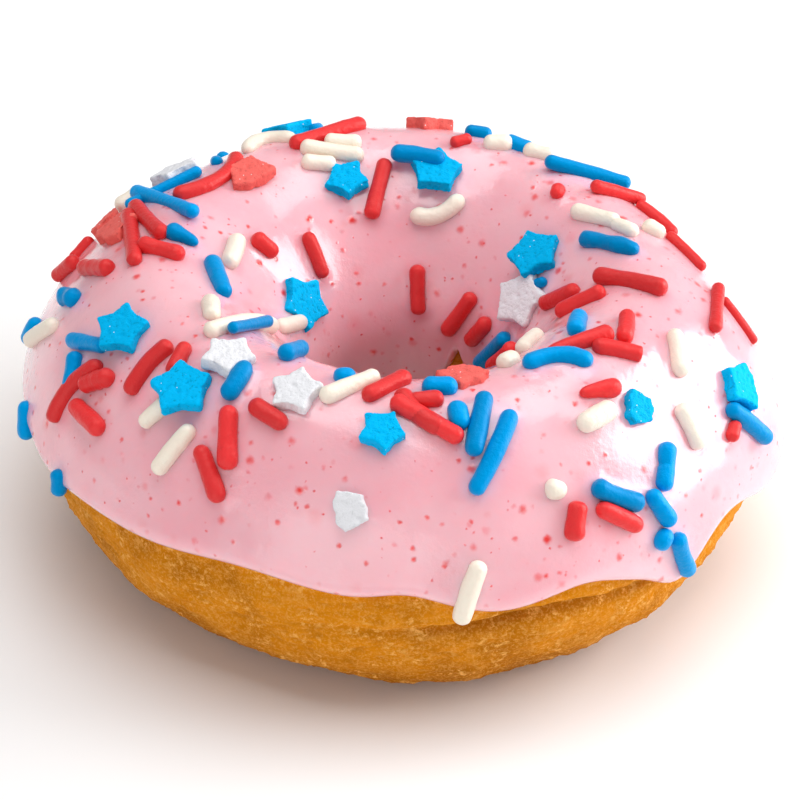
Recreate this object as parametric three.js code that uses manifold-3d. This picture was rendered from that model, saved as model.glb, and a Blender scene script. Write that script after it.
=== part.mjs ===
// Sprinkle frosted doughnut: a fried ring of cake, a poured skin of icing over its upper half, and sugar
// sprinkles that were scattered on the icing while it was wet and set into it.
import * as THREE from "three";
import { mergeVertices } from "three/addons/utils/BufferGeometryUtils.js";
import Module from "manifold-3d";

const wasm = await Module();
wasm.setup();

// Sizes are in millimetres and angles in degrees. A place on the ring is [bearing, across]: the bearing
// runs round the ring from +X, counterclockwise from above, and across runs over its section, from 0 at
// the outermost line by 90 at the crest and 180 at the hole wall to 270 underneath.
const RING_RADIUS = 25;
const HALF_WIDTH = 13.7;
const HALF_HEIGHT = 16.4;
const FLAT_DEPTH = 0.5; // what the flat ring that it rests on takes off the round underside
const CREST_SQUEEZE = 0.038; // share by which the upper shoulders are pulled in from an ellipse
const BOX_CENTRE = [-0.7, 0.76]; // middle of the whole object's box, seen from the ring's axis

// The ring was shaped by hand and fried, so its reach varies: [bearing, width of the swelling, height].
const RING_BULGES = [
  [30, 24, -2.8],
  [75, 26, -0.4],
  [115, 28, 2.4],
  [160, 28, 2.4],
  [240, 10, -0.4],
  [250, 30, -1.4],
  [327, 14, -0.4],
  [355, 18, 0.8],
];

// Crust: soft bumps all over the bare flank, [share, waves round, waves over the section, phase], and
// the crease where the two fried halves meet.
const CRUST_BUMP = 0.22;
const CRUST_WAVES = [
  [1, 5, 3, 0],
  [0.7, 11, -5, 1],
  [0.4, 19, 7, 2],
];
const CREASE_DEPTH = 0.5;
const CREASE_WIDTH = 4;
const CREASE_ACROSS = -11;
const CREASE_RISES = [
  [292, 12, 5.5],
  [30, 30, 5],
  [150, 24, -6],
];
const CREASE_STRETCHES = [
  [290, 24, 1],
  [35, 26, 0.7],
  [120, 30, 0.6],
  [195, 14, 0.5],
];

// Icing.
const ICING_GAP = 0.3;
const UNDER_CLEARANCE = 0.1; // keeps the flats of the icing's underside off the cake
const COVERED_INSET = 0.25; // keeps the cake's wide flats under the icing off its underside
const ICING_THICKNESS = 1.1;
const FLOW_WAVES = [
  [0.1, 4, 2],
  [0.07, 9, -3],
];
const ICING_SWELLINGS = [
  [346, 13, 1.05],
  [45, 18, 0.4],
  [190, 16, 0.5],
];
const LIP_BEAD = 0.25;
const LIP_WIDTH = 4.5;
const LIP_FOOT = 0.15; // height of the rim where the icing's top meets its underside
const LIP_ROW_EASE = 0.42; // how much closer the rows lie at both lips
const OUTER_EDGE = 3;
const OUTER_RIPPLE = [7, 0.6];
const OUTER_EDGE_RUNS = [
  [200, 10, -3],
  [245, 15, 5],
  [270, 6, 3.5],
  [284, 7, -3],
  [298, 6, 2.5],
  [316, 6, -9],
  [316, 13, -9.5],
  [341, 9, -11],
  [30, 12, -7],
  [75, 10, 4],
  [108, 9, -8],
  [150, 12, 4],
];
const HOLE_EDGE = 188;
const HOLE_RIPPLE = [5, 1.5];
const HOLE_EDGE_RUNS = [
  [56, 6, -9],
  [88, 26, 11],
  [124, 15, 8],
  [250, 30, 4],
  [330, 18, -4],
];

// Sprinkles.
const ROD_RADIUS = 0.95;
const ROD_SET = 0.45; // height of a rod's centreline over the icing
const ROD_RIDE = 0.7; // how far a straight rod follows the icing between its ends
const KNEE_SHARE = 0.85; // how far a bent rod's middle goes to its middle place
const STAR_RADIUS = 3.25;
const STAR_WAIST = 0.64; // radius between two points, as a share of the radius at the points
const BROKEN_POINT = 0.8; // radius where a point is broken off, as a share of the waist
const STAR_THICKNESS = 1.5;
const STAR_SET = -0.45; // height of a star's underside over the icing
const STAR_DIP = 0.75; // deepest that the low side of a leaning star goes into the icing

// Steps of the meshes.
const CAKE_STEPS = 56;
const ICING_STEPS = 56;
const OVER_ICING_STEPS = 15;
const UNDER_ICING_STEPS = 9;
const COVERED_ROWS = 28; // across angle between the cake's rows under the icing
const ROD_SIDES = 5;
const SHORTEST_ROD = 0.4; // length of a rod's straight part where only its end shows

// Rods lie along [bearing, across] places of their centreline; thick is a share of the usual radius, and
// lift is the extra height of a rod that lies on its neighbours.
const rod = (path, thick = 1, lift = 0) => ({ path, thick, lift });

const RED_RODS = [
  rod([[162, 37], [159, 44.5]], 0.8, -0.05),
  rod([[165.5, 31.5], [167, 45.5]], 0.9, 0.3),
  rod([[172.2, 54.5], [178.8, 69]]),
  rod([[159.5, 71], [179.5, 80.5]], 0.95),
  rod([[157, 71], [170, 89]], 0.95),
  rod([[174, 81], [178, 95]]),
  rod([[132, 82], [142, 91], [153, 83]]),
  rod([[152.5, 117.5], [150.4, 126.5]]),
  rod([[132.2, 128.5], [134.2, 145.5]], 0.85),
  rod([[202, 50], [198.5, 34], [200, 21]]),
  rod([[202, 40], [206, 51]], 1.05, 0.15),
  rod([[203, 32], [211, 33]], 1.1),
  rod([[212, 76], [211, 65], [212.5, 53]]),
  rod([[215, 79.5], [218, 69]], 0.95),
  rod([[232, 47], [238, 31]]),
  rod([[234, 66], [238, 45]], 1.1),
  rod([[238.5, 70.5], [245.5, 67]], 1.05),
  rod([[261, 84.5], [269.5, 99]]),
  rod([[269.5, 87], [272, 78], [277, 73]], 1.05),
  rod([[268, 83], [280, 68.5]], 1.05),
  rod([[271.5, 84], [277.5, 84.5]], 0.95),
  rod([[84, 149.5], [82, 166]], 0.92),
  rod([[50, 155], [62, 171]], 0.97),
  rod([[32, 160], [43, 171]], 0.97),
  rod([[352, 155], [372, 172]]),
  rod([[118, 90], [99.5, 79]]),
  rod([[96, 104.5], [103, 127]], 0.95),
  rod([[77.5, 92.5], [74, 88]], 0.75),
  rod([[34, 86], [31, 63]], 0.8, 0.25),
  rod([[29, 67], [24.5, 62], [19, 61.5]], 0.75, 0.1),
  rod([[14.5, 69.5], [4.5, 62.5]], 0.65),
  rod([[39.3, 98.5], [40.3, 96.5]], 0.85),
  rod([[50, 84], [47, 80]], 0.6),
  rod([[362, 134.5], [353.5, 116]], 0.95),
  rod([[342, 120], [345.2, 102.5]]),
  rod([[353, 106], [346.6, 81]], 1.05),
  rod([[325.5, 87.5], [311, 97]], 1.1),
  rod([[326, 82], [334.3, 88]], 0.95),
  rod([[326, 73], [319.5, 86.5]], 0.95),
  rod([[314.8, 69.5], [308, 73.5]], 1.05),
  rod([[358.5, 59.5], [344.5, 59.5]], 0.78),
  rod([[356.5, 55.5], [352.5, 37]], 0.62, -0.2),
  rod([[334.2, 27.5], [332, 24.5]], 0.8),
  rod([[301.5, 30], [307, 19]]),
  rod([[298, 34], [296, 23]], 1.1),
];

const WHITE_RODS = [
  rod([[151.5, 53], [147.5, 58]], 1.1, 0.3),
  rod([[127.5, 82], [121.5, 74], [117.5, 85]]),
  rod([[159, 113], [172, 114]], 1.1),
  rod([[200, 101], [208, 97]], 1.05),
  rod([[214.5, 90], [210, 109], [197, 133]], 1.05),
  rod([[187, 143], [163, 155]], 0.95),
  rod([[178, 20], [183, 38]]),
  rod([[219, 46], [221, 58]], 0.95),
  rod([[228.5, 53], [226, 33]]),
  rod([[252, 81], [261.5, 96.5]], 1.05),
  rod([[110, 91], [102.5, 94]], 1, 0.1),
  rod([[117, 92.5], [103.5, 101]]),
  rod([[119, 99.5], [111.5, 103]]),
  rod([[71, 116], [77, 127], [86.5, 125]], 1.05),
  rod([[69, 88], [64, 84]], 1.1),
  rod([[59, 84], [53, 81]]),
  rod([[29, 99], [18, 90]]),
  rod([[17, 91], [12, 87]], 0.9),
  rod([[16, 79], [13, 75]]),
  rod([[328, 124], [313, 117]]),
  rod([[298, 103], [303, 106]], 1.05),
  rod([[336.2, 70.5], [330.2, 59]]),
  rod([[304, 63], [311, 64]], 1.15),
  rod([[325.5, 48], [324.8, 31]]),
  rod([[294, 43], [296, 41]], 1.1, -0.2),
  rod([[281, 20], [278, 1]], 1.05),
];

const BLUE_RODS = [
  rod([[155.5, 65], [142.5, 81.5]], 0.7, 0.1),
  rod([[150.5, 63], [160, 97]], 0.9),
  rod([[135.3, 78.5], [134.5, 75]], 0.7, -0.12),
  rod([[168.5, 90], [171, 99.5]], 1.05),
  rod([[177, 44], [181, 51]], 1.05),
  rod([[174.5, 15], [174.5, 24]], 0.95),
  rod([[191, 45.5], [199, 57]], 0.92),
  rod([[195, 44], [199, 34.5]], 0.98),
  rod([[188.3, 9.5], [189.8, -0.5]], 0.98, -0.1),
  rod([[205.5, 7.5], [206, 1]], 0.95),
  rod([[175.5, 107.2], [191, 111]], 1.05),
  rod([[218.8, 95], [209, 121]], 0.68, 0.5),
  rod([[231, 84], [232, 71]], 1.1),
  rod([[234.8, 110.5], [236.8, 95.5]], 1, 0.3),
  rod([[253.2, 93], [255.3, 94.5]]),
  rod([[274.7, 91.5], [281.2, 91]], 1.12),
  rod([[281, 81], [281, 73]], 1.1),
  rod([[287, 83.5], [282, 62.5]], 1.05),
  rod([[291, 74.5], [286.2, 61.3], [281.5, 47.5]]),
  rod([[93, 103], [79, 104]], 1.05, 1),
  rod([[110.5, 76], [108.5, 72]], 0.7, -0.2),
  rod([[75.2, 81], [70.5, 80]], 0.9),
  rod([[65, 82], [59, 82]]),
  rod([[49, 91], [36.5, 63.5]], 0.9, 0.35),
  rod([[16, 105], [9.8, 98.3], [3.5, 91]]),
  rod([[14.6, 131], [13.6, 129.6]], 0.65),
  rod([[331, 104], [322, 98]], 1.05),
  rod([[302, 94.5], [311, 93], [313.5, 82.5]], 1.05),
  rod([[8, 158], [27, 176]]),
  rod([[334.8, 33], [339.5, 13.5]]),
  rod([[318, 39], [314, 27]], 1.05),
  rod([[302, 38.5], [305, 31.5], [308.5, 26.5]], 1.1),
  rod([[311.3, 26.5], [313.3, 14.5]], 1.05),
  rod([[310.7, 9.5], [311.7, 11]], 1.05),
  rod([[314.2, 8], [316.8, -8.5]]),
];

// Stars lie at one place: turn is the heading of their first point on the icing, size a share of the
// usual radius, whole the number of points that are not broken off, lean how far the side towards the
// hole and the side of the lower bearings stand up out of the icing, and fill the share of the notches
// between its points that is filled.
const star = (place, turn, size = 1, whole = 5, lift = 0, lean = [0, 0], fill = 0) => ({
  place,
  turn,
  size,
  whole,
  lift,
  lean,
  fill,
});

const BLUE_STARS = [
  star([200.2, 66], 63, 0.98, 5, 0.7, [-15, 13]),
  star([223, 64.6], 58, 1.09, 5, 0, [-18, 9]),
  star([152.5, 150.3], 54, 1.05),
  star([109, 111.4], 10, 0.81, 5, 0, [12, 8]),
  star([80.4, 108.5], 58, 1, 5, 0, [16, -6]),
  star([25.6, 124.5], 46, 1.02, 5, 0, [18, -7]),
  star([265.4, 69.9], 65, 0.8, 5, 0, [-9, 4]),
  star([316.2, 58.8], 216, 0.64, 4, 0, [0, 0], 0.4),
  star([339.8, 35.4], 31, 0.92, 4, 0, [-5, 8], 0.15),
  star([114.5, 69], 0, 1, 5, 0.3),
];

const WHITE_STARS = [
  star([142.5, 70], 30, 1, 5, 0.5),
  star([225.4, 84.9], 25, 0.98, 5, 0, [-7, 4]),
  star([245.5, 80.7], 25, 0.94, 5, 0, [0, -6]),
  star([15.6, 142.1], 6, 1.12, 5, 0.3, [4, -10]),
  star([260.6, 38.7], 270, 0.7, 4, 0, [0, 0], 0.4),
];

const RED_STARS = [
  star([135.3, 96.5], 152, 0.95, 4, 0.2, [5, 6]),
  star([164, 66], 30, 1, 4, 0, [0, 0], 0.3),
  star([156.5, 51], 20, 0.8, 3, 0.1, [0, 0], 0.4),
  star([84.5, 69], 10, 0.95, 5, 0.1),
  star([284.7, 98], 0, 0.95, 3, -0.2, [0, 0], 0.3),
];

// The rest lie where the far flank and the near wall of the hole go down steeply, spread evenly:
// [first bearing, last, first across, last, how many].
const SCATTER_SEED = 11;
const SCATTER_SPACING = 4.6;
const SCATTER_TRIES = 4000;
const SCATTERED_ROD = [4.5, 8];
const SCATTER_STAR_SHARE = 0.14;
const SCATTER_FIELDS = [
  [26, 50, 3, 14, 4],
  [50, 130, 12, 33, 12],
  [124, 142, 2, 9, 3],
  [228, 325, 152, 170, 4],
];

const radians = THREE.MathUtils.degToRad;

function swelling(bearing, swellings) {
  let sum = 0;
  for (const [at, width, height] of swellings) {
    const away = THREE.MathUtils.euclideanModulo(bearing - at + 180, 360) - 180;
    sum += height * Math.exp(-((away / width) ** 2));
  }
  return sum;
}

// Point of the ring's surface, moved out along its normal.
function ringPoint(bearing, across, out = 0) {
  const t = radians(across);
  const half = swelling(bearing, RING_BULGES) / 2;
  const width = HALF_WIDTH + half;
  const squeeze = Math.sin(t) > 0 ? CREST_SQUEEZE : 0;
  const scale = (1 + squeeze * Math.cos(4 * t)) / (1 + squeeze);
  const slope = (-4 * squeeze * Math.sin(4 * t)) / (1 + squeeze);
  const dx = width * (slope * Math.cos(t) - scale * Math.sin(t));
  const dz = HALF_HEIGHT * (slope * Math.sin(t) + scale * Math.cos(t));
  const length = Math.hypot(dx, dz);
  const radius = RING_RADIUS + half + width * scale * Math.cos(t) + (out * dz) / length;
  const height = HALF_HEIGHT - FLAT_DEPTH + HALF_HEIGHT * scale * Math.sin(t) - (out * dx) / length;
  const b = radians(bearing);
  return new THREE.Vector3(
    radius * Math.cos(b) - BOX_CENTRE[0],
    radius * Math.sin(b) - BOX_CENTRE[1],
    Math.max(height, 0),
  );
}

const creaseAcross = (bearing) => CREASE_ACROSS + swelling(bearing, CREASE_RISES);

// Relief of the bare crust: soft bumps that die out under the icing and at the flat underside, less the
// crease.
function crustRelief(bearing, across) {
  const t = radians(across);
  const b = radians(bearing);
  const past = across < 90 ? outerEdge(bearing) - across : across - holeEdge(bearing);
  const offFlat = Math.min(1, (1 + Math.sin(t)) * 6);
  const bare = THREE.MathUtils.smoothstep(past, 2, 14) * offFlat;
  let bumps = 0;
  for (const [share, round, over, phase] of CRUST_WAVES) {
    bumps += share * Math.sin(round * b + over * t + phase);
  }
  const groove = Math.exp(-(((across - creaseAcross(bearing)) / CREASE_WIDTH) ** 2));
  return CRUST_BUMP * bare * bumps - CREASE_DEPTH * groove * swelling(bearing, CREASE_STRETCHES);
}

const ripple = (bearing, [waves, height]) => height * Math.sin(radians(waves * bearing));

function outerEdge(bearing) {
  return OUTER_EDGE + ripple(bearing, OUTER_RIPPLE) + swelling(bearing, OUTER_EDGE_RUNS);
}

function holeEdge(bearing) {
  return HOLE_EDGE + ripple(bearing, HOLE_RIPPLE) + swelling(bearing, HOLE_EDGE_RUNS);
}

// Height of the icing's top over the cake, well inside its edges.
function icingHeight(bearing, across) {
  const b = radians(bearing);
  const t = radians(across);
  let height = ICING_GAP + ICING_THICKNESS;
  for (const [wave, round, over] of FLOW_WAVES) height += wave * Math.sin(round * b + over * t);
  return height + swelling(bearing, ICING_SWELLINGS) * Math.max(0, Math.cos(t));
}

// Height of the icing's top over the cake, with its outer lip and its lip in the hole rounded down.
function icingProfile(bearing, across) {
  const fromEdge = Math.min(across - outerEdge(bearing), holeEdge(bearing) - across);
  const inLip = Math.min(1, Math.max(0, fromEdge / LIP_WIDTH));
  const round = Math.sqrt(1 - (1 - inLip) ** 2);
  const bead = LIP_BEAD * Math.exp(-(((fromEdge - LIP_WIDTH) / LIP_WIDTH) ** 2));
  const underside = ICING_GAP + UNDER_CLEARANCE;
  return underside + (icingHeight(bearing, across) - underside + bead) * round;
}

// Closed skin through the points of a grid that closes on itself both round the ring and round its
// section. Each of its patches is split along the shorter diagonal.
function closedRing(steps, section) {
  const points = [];
  const faces = [];
  for (let i = 0; i < steps; i++) points.push(...section((360 * i) / steps));
  const rows = points.length / steps;
  for (let i = 0; i < steps; i++) {
    const next = (i + 1) % steps;
    for (let j = 0; j < rows; j++) {
      const above = (j + 1) % rows;
      const [a, b, c, d] = [i * rows + j, next * rows + j, next * rows + above, i * rows + above];
      if (points[a].distanceTo(points[c]) < points[b].distanceTo(points[d])) {
        faces.push(a, b, c, a, c, d);
      } else {
        faces.push(a, b, d, b, c, d);
      }
    }
  }
  return toSolid(points.flatMap((p) => [p.x, p.y, p.z]), faces);
}

function toSolid(vertices, faces) {
  return new wasm.Manifold(
    new wasm.Mesh({
      numProp: 3,
      vertProperties: new Float32Array(vertices),
      triVerts: new Uint32Array(faces),
    }),
  );
}

function geometryToSolid(geometry) {
  geometry.deleteAttribute("normal");
  geometry.deleteAttribute("uv");
  const merged = mergeVertices(geometry, 1e-4);
  return toSolid(merged.attributes.position.array, merged.index.array);
}

// Bare flank and crease get close rows, and what the icing covers gets wide ones.
function cakeSection(bearing) {
  const crease = creaseAcross(bearing);
  const flatHalf = THREE.MathUtils.radToDeg(Math.acos(1 - FLAT_DEPTH / HALF_HEIGHT));
  const rows = [-90 - flatHalf, -90 + flatHalf, -58, -44, -32, crease - 8];
  rows.push(crease - CREASE_WIDTH, crease, crease + CREASE_WIDTH, crease + 9);
  for (let across = COVERED_ROWS; across < 175; across += COVERED_ROWS) rows.push(across);
  rows.push(200, 215, 230, 243);
  return rows.map((across) => {
    const covered = across > 20 && across < 175;
    return ringPoint(bearing, across, covered ? -COVERED_INSET : crustRelief(bearing, across));
  });
}

function icingSection(bearing) {
  const first = outerEdge(bearing);
  const last = holeEdge(bearing);
  const points = [];
  for (let j = 0; j <= OVER_ICING_STEPS; j++) {
    const even = j / OVER_ICING_STEPS;
    const share = even - (Math.sin(4 * Math.PI * even) * LIP_ROW_EASE) / (4 * Math.PI);
    const across = first + (last - first) * share;
    const foot = j === 0 || j === OVER_ICING_STEPS ? LIP_FOOT : 0;
    points.push(ringPoint(bearing, across, icingProfile(bearing, across) + foot));
  }
  for (let j = 0; j <= UNDER_ICING_STEPS; j++) {
    const across = last + ((first - last) * j) / UNDER_ICING_STEPS;
    points.push(ringPoint(bearing, across, ICING_GAP + UNDER_CLEARANCE));
  }
  return points;
}

// Axes on the icing at a place: out of the surface, on round the ring, and on over its section.
function icingFrame([bearing, across], height) {
  const step = 0.5;
  const at = (b, a) => ringPoint(b, a, icingHeight(b, a));
  const round = at(bearing + step, across).sub(at(bearing - step, across)).normalize();
  const over = at(bearing, across + step).sub(at(bearing, across - step)).normalize();
  const out = new THREE.Vector3().crossVectors(round, over).normalize();
  return { point: at(bearing, across).addScaledVector(out, height), out, round, over };
}

// Rod: a capsule from end to end of its path, either straight, and let in or lifted as the icing curves
// under it, or bent to its middle place.
function rodSolid({ path, thick, lift }) {
  const radius = ROD_RADIUS * thick;
  const bent = path.length > 2;
  const first = path[0];
  const last = path[path.length - 1];
  const between = bent ? path[1] : [(first[0] + last[0]) / 2, (first[1] + last[1]) / 2];
  const [start, knee, end] = [first, between, last].map((at) => icingFrame(at, ROD_SET + lift).point);
  const middle = new THREE.Vector3().addVectors(start, end).multiplyScalar(0.5);
  const along = new THREE.Vector3().subVectors(end, start);
  const unit = along.clone().normalize();
  const length = Math.max(along.length() - radius, SHORTEST_ROD);
  const shape = new THREE.CapsuleGeometry(radius, length, 1, ROD_SIDES, bent ? 2 : 1);
  shape.applyQuaternion(new THREE.Quaternion().setFromUnitVectors(new THREE.Vector3(0, 1, 0), unit));
  if (bent) bendRod(shape, unit, length / 2 + radius, knee.clone().sub(middle));
  else middle.lerp(knee, ROD_RIDE);
  shape.translate(middle.x, middle.y, middle.z);
  return geometryToSolid(shape);
}

// Moves a rod's middle by its knee, less and less towards its ends.
function bendRod(shape, unit, reach, knee) {
  const position = shape.attributes.position;
  for (let i = 0; i < position.count; i++) {
    const p = new THREE.Vector3().fromBufferAttribute(position, i);
    const share = Math.abs(p.dot(unit)) / reach;
    p.addScaledVector(knee, Math.sqrt(Math.max(0, 1 - share)) * KNEE_SHARE);
    position.setXYZ(i, p.x, p.y, p.z);
  }
}

// Star: a slab with the outline of a star, set into the icing flat or leaning.
function starSolid({ place, turn, size, whole, lift, lean, fill }) {
  const reach = STAR_RADIUS * size;
  const waist = STAR_WAIST + (1 - STAR_WAIST) * fill;
  const lowSide = reach * Math.sin(radians(Math.hypot(...lean)));
  const height = Math.max(STAR_SET + lift, lowSide - STAR_DIP);
  const { point, out, round } = icingFrame(place, height);
  const outline = new THREE.Shape();
  for (let k = 0; k < 10; k++) {
    const broken = k % 2 === 0 && k / 2 >= whole;
    const share = k % 2 === 1 ? waist : broken ? waist * BROKEN_POINT : 1;
    const angle = radians(turn + 36 * k);
    const corner = [reach * share * Math.cos(angle), reach * share * Math.sin(angle)];
    if (k) outline.lineTo(...corner);
    else outline.moveTo(...corner);
  }
  const shape = new THREE.ExtrudeGeometry(outline, { depth: STAR_THICKNESS, bevelEnabled: false });
  const side = new THREE.Vector3().crossVectors(out, round);
  const axes = new THREE.Matrix4().makeBasis(round, side, out);
  const leaning = new THREE.Euler(radians(lean[0]), radians(lean[1]), 0);
  const tip = new THREE.Matrix4().makeRotationFromEuler(leaning);
  shape.applyMatrix4(axes.multiply(tip).setPosition(point));
  return geometryToSolid(shape);
}

// Even scatter from one seed: draws places in each field and keeps those that are far enough from every
// sprinkle so far.
function scatter(taken) {
  let state = SCATTER_SEED;
  const draw = () => {
    state = (state * 16807) % 2147483647;
    return state / 2147483647;
  };
  const between = (low, high) => low + (high - low) * draw();
  const rods = [];
  const stars = [];
  for (const [fromBearing, toBearing, fromAcross, toAcross, count] of SCATTER_FIELDS) {
    let left = count;
    for (let tries = 0; tries < SCATTER_TRIES && left > 0; tries++) {
      const place = [between(fromBearing, toBearing), between(fromAcross, toAcross)];
      const heading = between(0, Math.PI);
      const length = between(...SCATTERED_ROD);
      const isStar = draw() < SCATTER_STAR_SHARE;
      const { point } = icingFrame(place, 0);
      if (taken.some((other) => other.distanceTo(point) < SCATTER_SPACING)) continue;
      taken.push(point);
      left -= 1;
      if (isStar) {
        stars.push(star(place, THREE.MathUtils.radToDeg(heading)));
        continue;
      }
      const radius = Math.hypot(point.x + BOX_CENTRE[0], point.y + BOX_CENTRE[1]);
      const half = THREE.MathUtils.radToDeg(length / 2);
      const halfBearing = (half * Math.cos(heading)) / radius;
      const halfAcross = (half * Math.sin(heading)) / (HALF_HEIGHT + ICING_THICKNESS);
      rods.push(
        rod([
          [place[0] - halfBearing, place[1] - halfAcross],
          [place[0] + halfBearing, place[1] + halfAcross],
        ]),
      );
    }
  }
  return { rods, stars };
}

// Joins the sprinkles to the icing and keeps its outer skin, so a hollow that they seal is filled.
function fuse(base, pieces) {
  let joined = base;
  for (const piece of pieces) joined = joined.add(piece);
  const skins = joined.decompose().sort((a, b) => b.volume() - a.volume());
  const loose = skins.slice(1).filter((skin) => skin.volume() > 0);
  if (loose.length > 0) {
    const middles = loose.map((skin) => {
      const { min, max } = skin.boundingBox();
      return min.map((low, k) => ((low + max[k]) / 2).toFixed(1)).join(" ");
    });
    throw new Error(`sprinkles that do not touch the icing, at ${middles.join("; ")}`);
  }
  return skins[0];
}

function toMesh(name, solid, color, roughness) {
  const { numProp, vertProperties, triVerts } = solid.getMesh();
  const geometry = new THREE.BufferGeometry();
  const position = new Float32Array((vertProperties.length / numProp) * 3);
  for (let i = 0; i < position.length / 3; i++) {
    for (let k = 0; k < 3; k++) position[3 * i + k] = vertProperties[numProp * i + k];
  }
  geometry.setAttribute("position", new THREE.BufferAttribute(position, 3));
  geometry.setIndex(new THREE.BufferAttribute(triVerts, 1));
  geometry.computeVertexNormals();
  const material = new THREE.MeshStandardMaterial({ color, roughness, metalness: 0 });
  const mesh = new THREE.Mesh(geometry, material);
  mesh.name = name;
  return mesh;
}

const middleOf = ({ path }) => icingFrame(path[path.length > 2 ? 1 : 0], 0).point;
const listedRods = [...RED_RODS, ...WHITE_RODS, ...BLUE_RODS];
const listedStars = [...BLUE_STARS, ...WHITE_STARS, ...RED_STARS];
const rodCentres = listedRods.map(middleOf);
const starCentres = listedStars.map(({ place }) => icingFrame(place, 0).point);
const scattered = scatter([...rodCentres, ...starCentres]);
const rods = [...listedRods, ...scattered.rods].map(rodSolid);
const stars = [...listedStars, ...scattered.stars].map(starSolid);

const cake = closedRing(CAKE_STEPS, cakeSection);
const icing = fuse(closedRing(ICING_STEPS, icingSection), [...stars, ...rods]);

const doughnut = new THREE.Group();
doughnut.name = "doughnut";
doughnut.add(toMesh("cake_ring", cake, "#c8820f", 0.8));
doughnut.add(toMesh("icing", icing, "#f4b9c6", 0.25));

export default doughnut;
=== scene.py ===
"""Sprinkle frosted doughnut: a fried cake ring, a poured strawberry icing and sugar sprinkles set into it.

Laid out as a Blender add-on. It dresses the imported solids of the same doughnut, in their frame.
"""

import math

import bmesh
import bpy
import numpy as np
from bpy.props import FloatProperty, FloatVectorProperty, PointerProperty
from mathutils import Euler, Matrix, Vector, noise


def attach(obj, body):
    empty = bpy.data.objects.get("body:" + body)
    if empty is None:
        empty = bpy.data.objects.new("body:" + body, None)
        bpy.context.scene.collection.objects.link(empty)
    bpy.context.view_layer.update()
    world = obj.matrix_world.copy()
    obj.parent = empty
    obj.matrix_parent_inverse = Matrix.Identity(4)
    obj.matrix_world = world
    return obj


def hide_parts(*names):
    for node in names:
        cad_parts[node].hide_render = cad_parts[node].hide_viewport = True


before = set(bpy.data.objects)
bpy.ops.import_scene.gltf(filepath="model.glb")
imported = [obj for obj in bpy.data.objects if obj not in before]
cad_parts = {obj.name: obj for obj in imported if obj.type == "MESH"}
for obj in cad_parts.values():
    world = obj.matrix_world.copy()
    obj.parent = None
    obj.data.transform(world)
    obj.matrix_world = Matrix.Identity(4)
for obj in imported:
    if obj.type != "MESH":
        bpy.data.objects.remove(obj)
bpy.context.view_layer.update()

bl_info = {
    "name": "Sprinkle Frosted Doughnut",
    "version": (1, 0, 0),
    "blender": (4, 5, 0),
    "location": "View3D > Sidebar > Doughnut",
    "description": "Builds a fried ring with pink icing and sugar sprinkles around its solids",
    "category": "Add Mesh",
}

MM = 0.001
BODY = "root"

# Sizes are in millimetres and angles in degrees. A place on the ring is [bearing, across]: the bearing
# runs round the ring from +X, counterclockwise from above, and across runs over its section, from 0 at
# the outermost line by 90 at the crest and 180 at the hole wall to 270 underneath.
RING_RADIUS = 25
HALF_WIDTH = 13.7
HALF_HEIGHT = 16.4
FLAT_DEPTH = 0.5  # what the flat ring that it rests on takes off the round underside
CREST_SQUEEZE = 0.038  # share by which the upper shoulders are pulled in from an ellipse
BOX_CENTRE = (-0.7, 0.76)  # middle of the whole object's box, seen from the ring's axis

# The ring was shaped by hand and fried, so its reach varies: (bearing, width of the swelling, height).
RING_BULGES = [
    (30, 24, -2.8),
    (75, 26, -0.4),
    (115, 28, 2.4),
    (160, 28, 2.4),
    (240, 10, -0.4),
    (250, 30, -1.4),
    (327, 14, -0.4),
    (355, 18, 0.8),
]

# Crust: soft bumps, (share, waves round, waves over the section, phase), and the crease where the two
# fried halves meet.
CRUST_BUMP = 0.22
CRUST_WAVES = [(1, 5, 3, 0), (0.7, 11, -5, 1), (0.4, 19, 7, 2)]
CREASE_DEPTH = 0.5
CREASE_WIDTH = 4
CREASE_ACROSS = -11
CREASE_RISES = [(292, 12, 5.5), (30, 30, 5), (150, 24, -6)]
CREASE_STRETCHES = [(290, 24, 1), (35, 26, 0.7), (120, 30, 0.6), (195, 14, 0.5)]
CREASE_SLIT = (0.75, 1.5)  # depth and width of the sharp slit along the crease
CREASE_LIP = (0.3, 4.2, 2.6)  # height, distance above the crease and width of the fold over it

# Crumb of the crust: lumps, grains and grit, (height, size, place in the noise), and the flakes, which
# stand out where the noise passes their last value.
CRUMB = [(0.3, 4.5, 0), (0.2, 1.3, 7.3), (0.3, 0.5, 2.9)]
CRUMB_FLAKES = (0.4, 0.9, 19.1, 0.42)

# Degrees past the icing's edge over which the bumps, the crumb and the uncovered crust come in, and how
# fast the relief comes in beside the flat ring underneath.
BUMPS_FADE = (2, 14)
CRUMB_FADE = (-4, 1)
INSET_FADE = (-8, -2)
FLAT_FADE = 6

# How dark the crust is: its usual fried tone, the painted shade that the underside and the crease's slit add
# to it, and what the fold over the crease takes off.
FRY_USUAL, UNDER_SHADE, SLIT_SHADE_SHARE, FRY_FOLD = 0.35, 0.65, 0.55, 0.35
UNDER_SHADE_FROM_OUTSIDE = (18, 62)  # degrees below the outermost line over which the underside darkens
UNDER_SHADE_FROM_HOLE = (205, 250)
SLIT_SHADE = (1.5, 3.5)  # how far under the crease it is darkest, and how wide

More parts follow.
